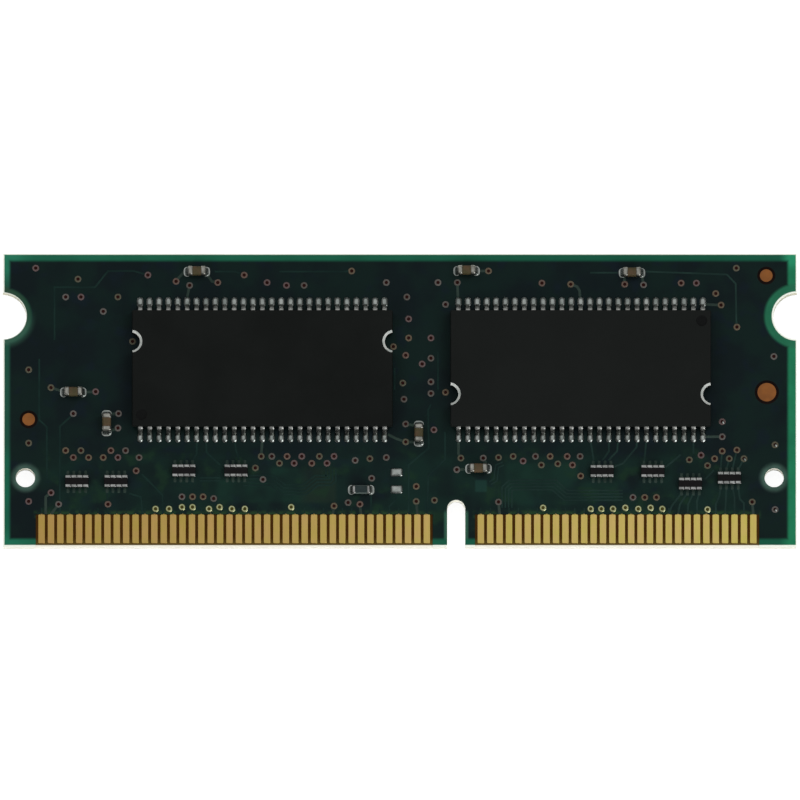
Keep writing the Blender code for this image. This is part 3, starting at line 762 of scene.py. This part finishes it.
def make_piece(name, skin, finishes, node=None, sharp=30.0, welded=False):
    """A mesh object made from a skin, riding on the card, in place of a node of the frame if it has one.

    Edges that turn by more than the sharp angle, in degrees, are left crisp.
    """
    mesh = bpy.data.meshes.new(name)
    mesh.from_pydata((np.concatenate(skin.points) * MM).tolist(), [], skin.faces)
    mesh.polygons.foreach_set("material_index", skin.finishes)
    if skin.tints:
        tints = np.concatenate(skin.tints)
        colours = np.concatenate([tints, np.ones((len(tints), 1))], axis=1)
        mesh.attributes.new("tint", "FLOAT_COLOR", "POINT").data.foreach_set("color", colours.ravel())
    for finish in finishes:
        mesh.materials.append(finish)
    if welded:
        weld(mesh)
    mesh.shade_smooth()
    mesh.set_sharp_from_angle(angle=math.radians(sharp))
    piece = bpy.data.objects.new(name, mesh)
    bpy.context.scene.collection.objects.link(piece)
    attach(piece, "root")
    if node:
        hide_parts(node)
    return piece


def seat(points, spots, upper=True, turn=0.0):
    """Local shapes turned about Z by an angle in degrees, flipped for the under face and moved to each spot.

    The flip is a half turn about Y, which changes the signs of x and z. The result has one more axis in
    front, for the spots.
    """
    angle = math.radians(turn)
    x, y, z = np.moveaxis(np.asarray(points, float), -1, 0)
    along = x * math.cos(angle) - y * math.sin(angle)
    away = x * math.sin(angle) + y * math.cos(angle)
    side = 1 if upper else -1
    local = np.stack([side * along, away, side * z], axis=-1)
    spots = np.atleast_2d(spots)
    face = np.full((len(spots), 1), UPPER_FACE if upper else UNDER_FACE)
    moves = np.concatenate([spots, face], axis=1)
    return local + moves.reshape(-1, *[1] * (local.ndim - 1), 3)


def lifted(flat, height):
    """Points on the flat with a height added: one for all of them, or one for each ring or point."""
    heights = np.broadcast_to(height, flat.shape[:-1])
    return np.concatenate([flat, heights[..., None]], axis=-1)


def in_row(places, y):
    """Spots at places along X, all at one Y."""
    return np.column_stack([places, np.full(len(places), y)])


def centred(count, pitch):
    """Places a pitch apart, the same number on either side of nought."""
    return (np.arange(count) - (count - 1) / 2) * pitch


def arc(centre, radius, angles):
    """Points on a circle: its centre plus a radius at each angle. A negative radius is the opposite side."""
    return np.column_stack([centre[0] + radius * np.cos(angles), centre[1] + radius * np.sin(angles)])


def rounded(width, depth, radius, steps=3):
    """Ring of a rectangle with round corners: each corner's centre plus a quarter circle, anticlockwise."""
    quarters = np.arange(4)[:, None] * np.pi / 2 + np.linspace(0, np.pi / 2, steps + 1)
    across = np.array([1, -1, -1, 1])[:, None] * (width / 2 - radius) + radius * np.cos(quarters)
    along = np.array([1, 1, -1, -1])[:, None] * (depth / 2 - radius) + radius * np.sin(quarters)
    return np.stack([across, along], axis=-1).reshape(-1, 2)


def slab(width, depth, radius, levels, steps=3):
    """Rings of an upright block: one rounded rectangle at each level, drawn in by that level's inset."""
    rings = []
    for height, inset in levels:
        ring = rounded(width - 2 * inset, depth - 2 * inset, max(radius - inset, 0.3 * radius), steps)
        rings.append(lifted(ring, height))
    return np.stack(rings)


def turned(profile, sides):
    """Rings of a turned shape: each radius and height of a profile swept round Z."""
    angle = np.arange(sides) * 2 * np.pi / sides
    radius, height = np.array(profile).T[:, :, None]
    return np.stack([radius * np.cos(angle), radius * np.sin(angle), height + 0 * angle], axis=-1)


def node_spot(name):
    """Where a node sits: its middle across the card, its size and whether it is on the upper face."""
    low, high = node_box(name)
    middle = (low + high) / 2
    return middle[:2], high - low, bool(middle[2] > CARD_MIDDLE)


def lead_rings(chip):
    """One gull-wing lead: a section carried along a path that runs along the card's Y.

    The path is level, then a cubic curve that leaves level and arrives level at the foot, then level again.
    The section is a rectangle with its corners cut: the signed square roots of a cosine and a sine.
    """
    side = chip.width / 2
    top = STANDOFF + chip.height / 2
    foot = FOOT_GAP + chip.lead_thickness / 2
    way = np.linspace(0, 1, LEAD_STATIONS)[:, None]
    start = side + LEAD_SHOULDER
    end = chip.toe - LEAD_FOOT
    pulls = [(start, top), (start + LEAD_PULL, top), (end - LEAD_PULL, foot), (end, foot)]
    weights = [(1 - way) ** 3, 3 * way * (1 - way) ** 2, 3 * way ** 2 * (1 - way), way ** 3]
    bend = sum(weight * np.array(pull) for weight, pull in zip(weights, pulls))
    toe = [(chip.toe - TOE_LENGTH, foot), (chip.toe, foot - TOE_DROP)]
    path = np.concatenate([[(side - LEAD_ROOT, top)], bend, toe])
    slope = np.gradient(path, axis=0)
    slope /= np.linalg.norm(slope, axis=1, keepdims=True)
    normal = np.column_stack([-slope[:, 1], slope[:, 0]])
    angle = (np.arange(LEAD_SIDES) + 0.5) * 2 * np.pi / LEAD_SIDES
    thick = np.sign(np.cos(angle)) * np.abs(np.cos(angle)) ** 0.5 * chip.lead_thickness / 2
    wide = np.sign(np.sin(angle)) * np.abs(np.sin(angle)) ** 0.5 * chip.lead_width / 2
    slim = np.interp(np.arange(len(path)), [LEAD_STATIONS - 2, LEAD_STATIONS], [1.0, FOOT_TAPER])
    thin = np.ones(len(path))
    slim[-1] *= TOE_TAPER
    thin[-1] = TOE_TAPER
    away = path[:, :1] + normal[:, :1] * thick * thin[:, None]
    up = path[:, 1:] + normal[:, 1:] * thick * thin[:, None]
    across = wide * slim[:, None]
    return np.stack([across, away, up], axis=-1)


def row_spots(chip, spot, turn, upper):
    """Spots of a row's leads on the card, a pitch apart about the middle of their chip."""
    shift = centred(chip.pins, chip.pitch) * math.cos(math.radians(turn)) * (1 if upper else -1)
    return in_row(spot[0] + shift, spot[1])


def case_ring(chip, inset, notch):
    """Outline of a case: a rectangle with round corners, bitten at both ends by a half-round notch."""
    ring = rounded(chip.length - 2 * inset, chip.width - 2 * inset, CASE_CORNER)
    if not chip.notched:
        return ring
    corners = ring.reshape(4, -1, 2)
    end = chip.length / 2 - inset
    centre = chip.length / 2 + NOTCH_SETOUT
    reach = math.acos((centre - end) / notch)
    swing = np.linspace(reach, -reach, NOTCH_STEPS + 1)
    left = arc((-centre, NOTCH_Y), notch, swing)
    right = arc((centre, NOTCH_Y), -notch, swing)
    return np.concatenate([corners[0], corners[1], left, corners[2], corners[3], right])


def case_skin(chip, spot, turn, upper):
    """A drafted case: outlines at several heights, with a dished index mark on top.

    Each level has its height, how far the outline is drawn in and how far the notches widen there.
    """
    top = STANDOFF + chip.height
    middle = STANDOFF + chip.height / 2
    flare, flare_height = NOTCH_FLARE
    drawn_in = CASE_DRAFT + CASE_EDGE
    levels = [(STANDOFF, drawn_in, 0.0), (STANDOFF + CASE_EDGE, CASE_DRAFT, 0.0),
              (middle - CASE_SEAM, 0.0, 0.0), (middle + CASE_SEAM, 0.0, 0.0),
              (top - flare_height, 0.7 * CASE_DRAFT, 0.0), (top - CASE_EDGE, CASE_DRAFT, flare - CASE_EDGE),
              (top, drawn_in, flare)]
    rings = np.stack([lifted(case_ring(chip, inset, NOTCH_RADIUS + widening), height)
                      for height, inset, widening in levels])
    place = (spot, upper, turn)
    skin = Skin()
    if not chip.notched:
        skin.loft(seat(rings, *place))
        return skin
    # The notches' flared walls have a finish of their own, painted pale as a highlight
    numbers = np.zeros((len(levels) - 1, rings.shape[1]), int)
    for last in (rings.shape[1] // 2, rings.shape[1]):
        numbers[4:, last - NOTCH_STEPS - 1:last - 1] = 1
    skin.loft(seat(rings, *place), numbers, (0, None))
    dish = [(INDEX_RADIUS, top), (INDEX_RADIUS - INDEX_SLOPE, top - INDEX_DEPTH)]
    mark = turned(dish, INDEX_SIDES) + (*INDEX_MARK, 0.0)
    skin.plate(seat(rings[-1], *place)[0], seat(mark[0], *place)[0], upper)
    skin.loft(seat(mark, *place), 2, (None, 2))
    return skin


def ended_rings(size, cap_length):
    """A two-ended part along X: rounded sections, full at the tinned ends and drawn in between them."""
    length, width, height = size
    end = length / 2
    cap = end - cap_length
    half = [(end - way, inset) for way, inset in END_PROFILE]
    half += [(cap - way, inset) for way, inset in CAP_PROFILE]
    stations = [(-x, inset) for x, inset in half] + half[::-1]
    rings = []
    for x, inset in stations:
        corner = min(END_CORNER, 0.4 * (height - 2 * inset))
        ring = rounded(width - 2 * inset, height - 2 * inset, corner, 4)
        rings.append(np.column_stack([np.full(len(ring), x), ring[:, 0], ring[:, 1] + height / 2 + FOOT_GAP]))
    numbers = np.zeros((len(stations) - 1, 1), int)
    numbers[len(half) - 1] = 1
    return np.stack(rings), numbers


def fillet_rings(size):
    """Solder at a part's +X end: its pad's outline shrinks onto the end while it climbs.

    The height goes as a square root of the way up to the lip, and from there as a power of the way.
    """
    length, width, height = size
    pad = rounded(FILLET_REACH + FILLET_UNDER, width + 0.05, FILLET_CORNER, 4)
    pad = pad + (length / 2 + (FILLET_REACH - FILLET_UNDER) / 2, 0.0)
    crest_depth, crest_corner = FILLET_CREST
    crest = rounded(crest_depth, width - 0.24, crest_corner, 4) + (length / 2 - 0.06, 0.0)
    rise = FOOT_GAP + FILLET_CLIMB * height
    way = np.clip(FILLET_RINGS, 0.0, 1.0)[:, None]
    flat = pad[None] * (1 - way[:, :, None]) + crest[None] * way[:, :, None]
    lip_way, lip = FILLET_LIP
    hollow = np.clip((way - lip_way) / (1 - lip_way), 0, 1) ** FILLET_SWEEP
    lift = lip * np.clip(way / lip_way, 0, 1) ** 0.5 + (rise - lip) * hollow
    lift[0] = -SINK
    lift[1] = SINK
    return lifted(flat, lift)


def mound_rings(width, depth, height, way, corner, steps=3):
    """A mound of solder: its pad's outline shrinks to the middle, a part of the way a ring.

    The height goes as the square root of one minus a power of the distance from the middle.
    """
    way = np.array(way)
    outline = rounded(width, depth, corner, steps)
    lift = height * np.sqrt(1 - (1 - way) ** MOUND_POWER)
    lift[0] = -SINK
    return lifted(outline[None] * (1 - way)[:, None, None], lift[:, None])


def mitres(route):
    """At each point of a route, the step to its left that leads to a line one unit away.

    It is the normal of the mean direction there, over the cosine of half the turn.
    """
    step = np.diff(route, axis=0)
    step /= np.linalg.norm(step, axis=1, keepdims=True)
    before = np.concatenate([step[:1], step])
    after = np.concatenate([step, step[-1:]])
    along = before + after
    along /= np.linalg.norm(along, axis=1, keepdims=True)
    return np.column_stack([-along[:, 1], along[:, 0]]) / np.sum(along * after, axis=1, keepdims=True)


def ribbon_rings(route, width, height):
    """A track: a flat-topped section carried along a route on the card, mitred at its corners."""
    route = np.array(route, float)
    across = mitres(route) * width / 2
    sides = np.array([-1.0, -TRACK_TOP, TRACK_TOP, 1.0])
    return lifted(route[:, None] - across[:, None] * sides[None, :, None], [-SINK, height, height, -SINK])


def build_leads(finishes):
    """The lead rows of every chip, each row in place of its node, with painted shade on the bends of the near
    rows.
    """
    for name, (chip, turn) in CHIPS.items():
        spot, _, upper = node_spot(f"{name}_case")
        spot = spot + SEATING
        spots = row_spots(chip, spot, turn, upper)
        rings = lead_rings(chip)
        # Shoulder, bend and foot
        numbers = np.array([0, 0] + [2] * (LEAD_STATIONS - 3) + [1] * 3)[:, None]
        for row, half_turn in (("far", 0), ("near", 180)):
            # The near rows' bends take a darker copy of the tin: painted shade where they face away from the
            # light
            bend = "lead" if (turn + half_turn) % 360 == 0 else "near_bend_painted_shade"
            used = [finishes["lead"], finishes["wetted"], finishes[bend]]
            skin = Skin()
            skin.loft(seat(rings, spots, upper, turn + half_turn), numbers, (0, 1))
            node = f"{name}_leads_{row}"
            make_piece(f"{node}_formed", skin, used, node, sharp=50.0)


def build_cases(finishes):
    """The moulded case of every chip."""
    used = [finishes["moulding"], finishes["notch"], finishes["dish"]]
    for name, (chip, turn) in CHIPS.items():
        node = f"{name}_case"
        spot, _, upper = node_spot(node)
        skin = case_skin(chip, spot + SEATING, turn, upper)
        make_piece(f"{node}_moulded", skin, used, node, welded=True)


def build_small_parts(finishes):
    """Capacitors and the link. Returns where solder goes: each part's size, spot, turn and face."""
    joints = []
    names = sorted(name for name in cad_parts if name.startswith(("capacitor", "link")))
    for name in names:
        spot, size, upper = node_spot(name)
        turn = 0 if size[0] > size[1] else 90
        own = size if turn == 0 else size[[1, 0, 2]]
        link = name.startswith("link")
        rings, numbers = ended_rings(own, LINK_CAP if link else END_CAP)
        skin = Skin()
        skin.loft(seat(rings, spot, upper, turn), numbers)
        used = [finishes["end"], finishes["ceramic"]]
        if link:
            top = FOOT_GAP + own[2]
            levels = [(top - 0.06, 0.0), (top - 0.02, 0.0), (top - 0.005, 0.02)]
            glaze = slab(own[0] - 2 * (LINK_CAP + GLAZE_GAP), own[1] - 2 * LINK_FRAME, 0.06, levels)
            skin.loft(seat(glaze, spot, upper, turn), 2, (2, 2))
            used = [finishes["terminal"], finishes["substrate"], finishes["link"]]
        make_piece(f"{name}_fired", skin, used, name)
        joints.append((own, spot, turn, upper))
    return joints


def array_skin(size, spot, upper):
    """A resistor array: a glazed body with tinned terminals along each side, each on the end of a track."""
    length, _, height = size
    top = FOOT_GAP + height
    levels = [(FOOT_GAP, 0.02), (FOOT_GAP + 0.03, 0.0), (top - 0.04, 0.0), (top, 0.03)]
    body = slab(length, ARRAY_BODY, 0.05, levels)
    wide, deep = ARRAY_TERMINAL
    levels = [(FOOT_GAP - 0.01, 0.0), (top - 0.05, 0.0), (top - 0.012, 0.012), (top + 0.008, 0.045)]
    block = slab(wide, deep, 0.06, levels)
    stub = slab(*ARRAY_STUB, 0.08, [(-SINK, 0.0), (TRACK_HEIGHT, 0.02), (0.016, 0.05)], 2)
    places = centred(ARRAY_COUNT, ARRAY_PITCH)
    reach = ARRAY_ROW + (deep + ARRAY_STUB[1]) / 2 - ARRAY_STUB_OVERLAP
    skin = Skin()
    skin.loft(seat(body, spot, upper), 1, (1, 1))
    for side in (-1, 1):
        skin.loft(seat(block, spot + in_row(places, side * ARRAY_ROW), upper))
        skin.loft(seat(stub, spot + in_row(places, side * reach), upper), 2, (2, 2))
    return skin


def build_arrays(finishes):
    """The resistor arrays, each in place of its node."""
    for name in sorted(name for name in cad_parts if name.startswith("resistor_array")):
        spot, size, upper = node_spot(name)
        used = [finishes["terminal"], finishes["glaze"], finishes["wide_track"]]
        make_piece(f"{name}_fired", array_skin(size, spot + ARRAY_SEATING, upper), used, name)


def build_solder(finishes, joints):
    """Solder on each face: fillets at the part ends and pads under the lead feet.

    The upper face also has two bare pads and a bead in a few vias.
    """
    for upper, face in FACES:
        skin = Skin()
        for size, spot, turn, part_upper in joints:
            if part_upper == upper:
                for half_turn in (0, 180):
                    skin.loft(seat(fillet_rings(size), spot, upper, turn + half_turn))
        for name, (chip, turn) in CHIPS.items():
            spot, _, chip_upper = node_spot(f"{name}_case")
            if chip_upper != upper:
                continue
            for side, (width, length) in FOOT_PADS.items():
                width *= chip.lead_width / MEMORY.lead_width
                pad = mound_rings(width, length, FOOT_PAD_HEIGHT, FOOT_PAD_RINGS, FOOT_PAD_CORNER * width, 2)
                spots = row_spots(chip, spot, turn, upper)
                spots[:, 1] += side * (chip.toe + length / 2 - FOOT_PAD_OVERLAP)
                skin.loft(seat(pad, spots, upper))
        if upper:
            pad = mound_rings(*EMPTY_PAD_SIZE, EMPTY_PAD_HEIGHT, MOUND_RINGS, EMPTY_PAD_CORNER)
            skin.loft(seat(pad, EMPTY_PADS))
            bead = mound_rings(2 * BEAD_RADIUS, 2 * BEAD_RADIUS, BEAD_HEIGHT, MOUND_RINGS, BEAD_CORNER)
            skin.loft(seat(bead, np.array(BEADED_VIAS) + BEAD_OFFSET))
        make_piece(f"solder_{face}", skin, [finishes["solder"]], sharp=60.0)


def build_contacts(finishes):
    """The gold contacts, each with a narrow neck at its top, each group in place of its comb."""
    for upper, face in FACES:
        for group, places in CONTACTS.items():
            node = f"contacts_{face}_{group}"
            low, high = node_box(node)
            base = low[2] - UPPER_FACE if upper else UNDER_FACE - high[2]
            top = base + CONTACT_THICKNESS
            levels = [(base, 0.0), (top - 0.012, 0.0), (top, 0.015)]
            finger = slab(*CONTACT_SIZE, CONTACT_CORNER, levels)
            neck = slab(*CONTACT_NECK, 0.06, [(base, 0.0), (0.004, 0.0), (0.010, 0.03)])
            skin = Skin()
            for shape, y in ((finger, CONTACT_Y), (neck, CONTACT_TOP)):
                skin.loft(seat(shape, in_row(places, y), upper))
            make_piece(f"{node}_plated", skin, [finishes["gold"]], node)


def clear_spots(spots, margin):
    """The spots that no part on the under face covers."""
    spots = np.asarray(spots, float)
    keep = np.ones(len(spots), bool)
    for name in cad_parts:
        low, high = node_box(name)
        if high[2] < CARD_MIDDLE and not name.startswith(("solder_mask", "laminate", "contacts")):
            keep &= ~np.all((spots > low[:2] - margin) & (spots < high[:2] + margin), axis=1)
    return spots[keep]


def build_vias(finishes):
    """Vias on both faces: a tinted, rounded rim round a bore closed by a disc painted dark as the hole's
    shade, and gold ones by the contacts.
    """
    ring = turned(VIA_PROFILE, VIA_SIDES)
    tints = np.array([srgb(*tint)[:3] for tint in VIA_TINTS])
    draw = np.random.default_rng(VIA_SEED)
    for upper, face in FACES:
        spots = np.array(VIAS) if upper else clear_spots(VIAS, VIA_CLEARANCE)
        skin = Skin()
        skin.loft(seat(ring, spots, upper), 0, (0, 1), tints[draw.integers(len(tints), size=len(spots))])
        make_piece(f"vias_{face}", skin, [finishes["rim"], finishes["bore"]])
        plated = Skin()
        plated.loft(seat(ring, PLATED_VIAS, upper), 0, (0, 1))
        make_piece(f"plated_vias_{face}", plated, [finishes["plated"], finishes["plated_bore"]])


def bundle_routes():
    """Routes of the bundles' tracks, each a spacing to the right of the one before it."""
    routes = []
    for count, route in BUNDLES:
        first = np.array(route, float)
        routes += [first - mitres(first) * BUNDLE_SPACING * i for i in range(count)]
    return routes


def build_tracks(finishes):
    """Tracks on both faces: the drawn routes, the bundles and the short stub on every contact."""
    routes = [(width, TRACK_HEIGHT, int(width == WIDE), route) for width, route in TRACKS]
    slim = (FINE * BUNDLE_SLIMNESS, TRACK_HEIGHT * BUNDLE_SLIMNESS, 0)
    routes += [(*slim, route) for route in bundle_routes()]
    for x in np.concatenate([*CONTACTS.values()]):
        stub = [(x, CONTACT_TOP), (x, CONTACT_TOP + STUB_LENGTH)]
        routes.append((STUB_WIDTH, TRACK_HEIGHT * STUB_SLIMNESS, 0, stub))
    for upper, face in FACES:
        skin = Skin()
        for width, height, number, route in routes:
            side = 1 if upper else -1
            rings = ribbon_rings(np.array(route) * (side, 1), width, height)
            skin.loft(seat(rings, (0.0, 0.0), upper), number, (number, number))
        make_piece(f"tracks_{face}", skin, [finishes["track"], finishes["wide_track"]])


def build_fiducials(finishes):
    """Copper discs in dark mask openings, on both faces."""
    for upper, face in FACES:
        skin = Skin()
        for spot, radius in FIDUCIALS:
            edge = radius + FIDUCIAL_RING
            disc = turned([(radius, -SINK), (radius, FIDUCIAL_HEIGHT)], FIDUCIAL_SIDES)
            well = turned([(edge, -SINK), (edge - 0.02, FIDUCIAL_FLOOR)], FIDUCIAL_SIDES)
            skin.loft(seat(well, spot, upper), 1, (1, 1))
            skin.loft(seat(disc, spot, upper))
        make_piece(f"fiducials_{face}", skin, [finishes["copper"], finishes["well"]])


def card_outline(inset):
    """Ring of the card's outline drawn in by an inset: straight edges, a notch at each end and a key slot.

    Every round part is its centre plus a radius that grows by the inset, swept through its angle.
    """
    left, near = CARD_LOW[:2] + inset
    right, far = CARD_HIGH[:2] - inset
    latch = LATCH_RADIUS + inset
    reach = math.acos(inset / latch)
    swing = np.linspace(-reach, reach, LATCH_STEPS)
    key = KEY_WIDTH / 2 + inset
    crown = np.linspace(np.pi, 0, KEY_STEPS)
    slot = arc((KEY_X, KEY_STRAIGHT_TOP), key, crown)
    right_notch = arc((CARD_HIGH[0], LATCH_Y), -latch, -swing)
    left_notch = arc((CARD_LOW[0], LATCH_Y), latch, -swing)
    return np.concatenate([[(left, near), (KEY_X - key, near)], slot, [(KEY_X + key, near), (right, near)],
                           right_notch, [(right, far), (left, far)], left_notch])


def hole_ring(x, radius):
    """Ring of one of the two holes."""
    return arc((x, HOLE_Y), radius, np.arange(HOLE_SIDES) * 2 * np.pi / HOLE_SIDES)


def build_bond_line(finishes):
    """The line of resin that joins the two halves, round the outline and the holes: a rectangular section."""
    low = node_box("laminate_under")[1][2] - BOND_OVERLAP
    high = CARD_LOW[2] + BOND_OVERLAP
    skin = Skin()
    edges = [(card_outline(BOND_INSET), card_outline(BOND_INSET + BOND_WIDTH))]
    edges += [(hole_ring(x, HOLE_RADIUS + BOND_INSET + BOND_WIDTH), hole_ring(x, HOLE_RADIUS + BOND_INSET))
              for x in (-HOLE_X, HOLE_X)]
    for outer, inner in edges:
        corners = [(outer, low), (outer, high), (inner, high), (inner, low), (outer, low)]
        skin.loft(np.stack([lifted(ring, height) for ring, height in corners]), 0, (None, None))
    make_piece("bond_line", skin, [finishes["laminate"]], welded=True)


def dress_layers(finishes):
    """Give the frame's own layers and dies their finishes."""
    parts = {"solder_mask": "mask", "laminate": "laminate", "ground_plane": "copper", "_die": "silicon"}
    for name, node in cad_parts.items():
        for part, finish in parts.items():
            if part in name:
                node.data.materials.clear()
                node.data.materials.append(finishes[finish])


def add_floor():
    """A pale floor that shows white to the eye and to metal, and keeps a soft shadow."""
    side = FLOOR_REACH * MM
    mesh = bpy.data.meshes.new("floor")
    corners = [(-side, -side), (side, -side), (side, side), (-side, side)]
    mesh.from_pydata([(x, y, -FLOOR_GAP * MM) for x, y in corners], [], [(0, 1, 2, 3)])
    floor = bpy.data.objects.new("floor", mesh)
    bpy.context.scene.collection.objects.link(floor)
    finish = new_finish("floor")
    kinds = [finish.node("ShaderNodeLightPath", output=kind)
             for kind in ("Is Camera Ray", "Is Glossy Ray", "Is Transmission Ray")]
    seen = kinds[0] | kinds[1] | kinds[2]
    glow = finish.mix(seen, (0.0, 0.0, 0.0, 1.0), (0.92, 0.92, 0.92, 1.0))
    finish.set(Base_Color=(0.30, 0.30, 0.30, 1.0), Roughness=0.9, Specular_IOR_Level=0.0,
               Emission_Color=glow, Emission_Strength=1.0)
    mesh.materials.append(finish.owner)


def add_lamp(name, direction, size, power, glints):
    """A square lamp that faces the card from a direction and, if it glints, shows in metal."""
    lamp = bpy.data.lights.new(name, "AREA")
    lamp.shape = "SQUARE"
    lamp.size = size * MM
    lamp.energy = power
    away = Vector(direction).normalized()
    obj = bpy.data.objects.new(name, lamp)
    obj.location = away * LAMP_DISTANCE * MM
    obj.rotation_euler = away.to_track_quat("Z", "Y").to_euler()
    obj.visible_glossy = glints
    bpy.context.scene.collection.objects.link(obj)


def add_light():
    """A dim sky, a soft light overhead, a white horizon, four lamps off the corners and one in front."""
    world = bpy.data.worlds.new("studio")
    bpy.context.scene.world = world
    finish = Finish(world, "Background")
    direction = finish.node("ShaderNodeTexCoord", output="Generated")
    away, height = [finish.node("ShaderNodeSeparateXYZ", {}, {0: direction}, output) for output in (1, 2)]
    lean = math.radians(SOFT_LIGHT_LEAN)
    overhead = away * math.sin(lean) + height * math.cos(lean)
    sky = finish.mix(finish.ramp(overhead, 0.74, 0.94), (0.10, 0.10, 0.10, 1.0), (0.70, 0.70, 0.70, 1.0))
    sky = finish.mix(finish.ramp(height, 0.10, 0.02), sky, (1.0, 1.0, 1.0, 1.0))
    finish.set(Color=sky, Strength=1.0)
    for name, lamp in LAMPS.items():
        add_lamp(name, *lamp)


def add_camera():
    """A long view from above, tilted towards the contact edge, as wide as the card and its margin."""
    camera = bpy.data.cameras.new("camera")
    camera.type = "ORTHO"
    camera.ortho_scale = VIEW_WIDTH * MM
    tilt = math.radians(VIEW_TILT)
    back = Vector((0.0, -math.sin(tilt), math.cos(tilt)))
    up = Vector((0.0, math.cos(tilt), math.sin(tilt)))
    aim = Vector((VIEW_CENTRE[0], 0.0, UPPER_FACE)) + up * VIEW_CENTRE[1]
    obj = bpy.data.objects.new("camera", camera)
    obj.location = (aim + back * VIEW_DISTANCE) * MM
    obj.rotation_euler = (tilt, 0.0, 0.0)
    bpy.context.scene.collection.objects.link(obj)
    bpy.context.scene.camera = obj


def make_finishes():
    """Every finish of the card, by the name that its pieces use."""
    recess = ((0.3, 2.0), (0.2, 0.2, 0.6), 0.05, (0.1, 2.0, 0.002))
    return {
        "mask": solder_mask(),
        "laminate": laminate(),
        "copper": metal("copper", (146, 94, 55), (164, 105, 58), 0.36, 0.2, 0.003),
        "gold": gold_plate(),
        "plated": metal("plated_rim", (182, 186, 134), (204, 208, 160), 0.30, 0.12, 0.004),
        "moulding": moulding(),
        # The moulding's polished notch wall, painted pale as a highlight: the painted reflection of the light
        # overhead
        "notch": coat("notch_wall_painted_highlight", (160, 166, 162), (186, 188, 184), (0.35, 3.0), (0.2, 0.2, 0.3), 0.3,
                      (0.1, 2.0, 0.003), (0.3, 0.7)),
        # The floor of the index mark, a shade darker and smoother than the moulding round it
        "dish": coat("index_dish", (16, 17, 17), (19, 20, 20), (0.4, 3.0), (0.2, 0.15, 0.45), 0.03,
                     (0.1, 2.0, 0.002)),
        "lead": metal("tinned_lead", (174, 176, 172), (202, 204, 200), 0.42, 0.12, 0.001),
        # A darker copy of the tin for the near rows' bends: painted shade, not a different metal
        "near_bend_painted_shade": metal("near_bend_tin_painted_shade", (106, 108, 104), (138, 140, 136), 0.40, 0.12, 0.001),
        "wetted": metal("wetted_tin", (66, 70, 66), (116, 120, 114), 0.34, 0.10, 0.005),
        "end": metal("tinned_end", (144, 144, 136), (182, 182, 174), 0.32, 0.12, 0.004),
        "terminal": metal("array_terminal", (146, 148, 146), (188, 190, 188), 0.30, 0.10, 0.006),
        "solder": metal("solder", (140, 148, 144), (184, 190, 186), 0.28, 0.16, 0.002),
        # Fired ceramic, olive brown with redder patches
        "ceramic": coat("ceramic", (64, 59, 40), (76, 61, 45), (0.7, 3.0), (0.2, 0.2, 0.42), 0.15,
                        (0.08, 3.0, 0.003), (0.35, 0.65)),
        # Bare grey-green ceramic round the link's glaze
        "substrate": coat("substrate", (62, 72, 70), (84, 94, 91), (0.3, 3.0), (0.2, 0.2, 0.4), 0.12,
                          (0.1, 2.0, 0.003)),
        # Black glass glaze over the resistors and grey-green glaze over the link, with a soft ripple
        "glaze": coat("black_glaze", (8, 8, 9), (19, 17, 18), (0.5, 3.0), (0.2, 0.2, 0.25), 0.10,
                      (0.3, 2.0, 0.006)),
        "link": coat("link_glaze", (27, 37, 38), (43, 54, 54), (0.4, 3.0), (0.2, 0.2, 0.3), 0.12,
                     (0.3, 2.0, 0.006)),
        "rim": via_rim(),
        # Dark recesses: the bores of the vias, flat caps painted dark as the shade in their holes, and the
        # bare ring round a mark
        "bore": coat("via_bore", (28, 11, 9), (42, 17, 13), *recess),
        "plated_bore": coat("plated_bore", (46, 42, 14), (68, 62, 22), *recess),
        "well": coat("mark_well", (14, 9, 8), (22, 13, 11), *recess),
        "track": track_film("track_film", ((16, 33, 31), (22, 42, 38)), ((22, 39, 36), (29, 48, 44))),
        "wide_track": track_film("wide_track_film", ((35, 48, 43), (44, 57, 51)),
                                 ((35, 48, 43), (45, 58, 53))),
        "silicon": silicon(),
    }


def main():
    """Dress the card, light it and set a camera."""
    bpy.context.scene.view_settings.view_transform = "Standard"
    finishes = make_finishes()
    dress_layers(finishes)
    build_contacts(finishes)
    build_cases(finishes)
    build_leads(finishes)
    joints = build_small_parts(finishes)
    build_arrays(finishes)
    build_solder(finishes, joints)
    build_vias(finishes)
    build_tracks(finishes)
    build_fiducials(finishes)
    build_bond_line(finishes)
    add_floor()
    add_light()
    add_camera()


main()
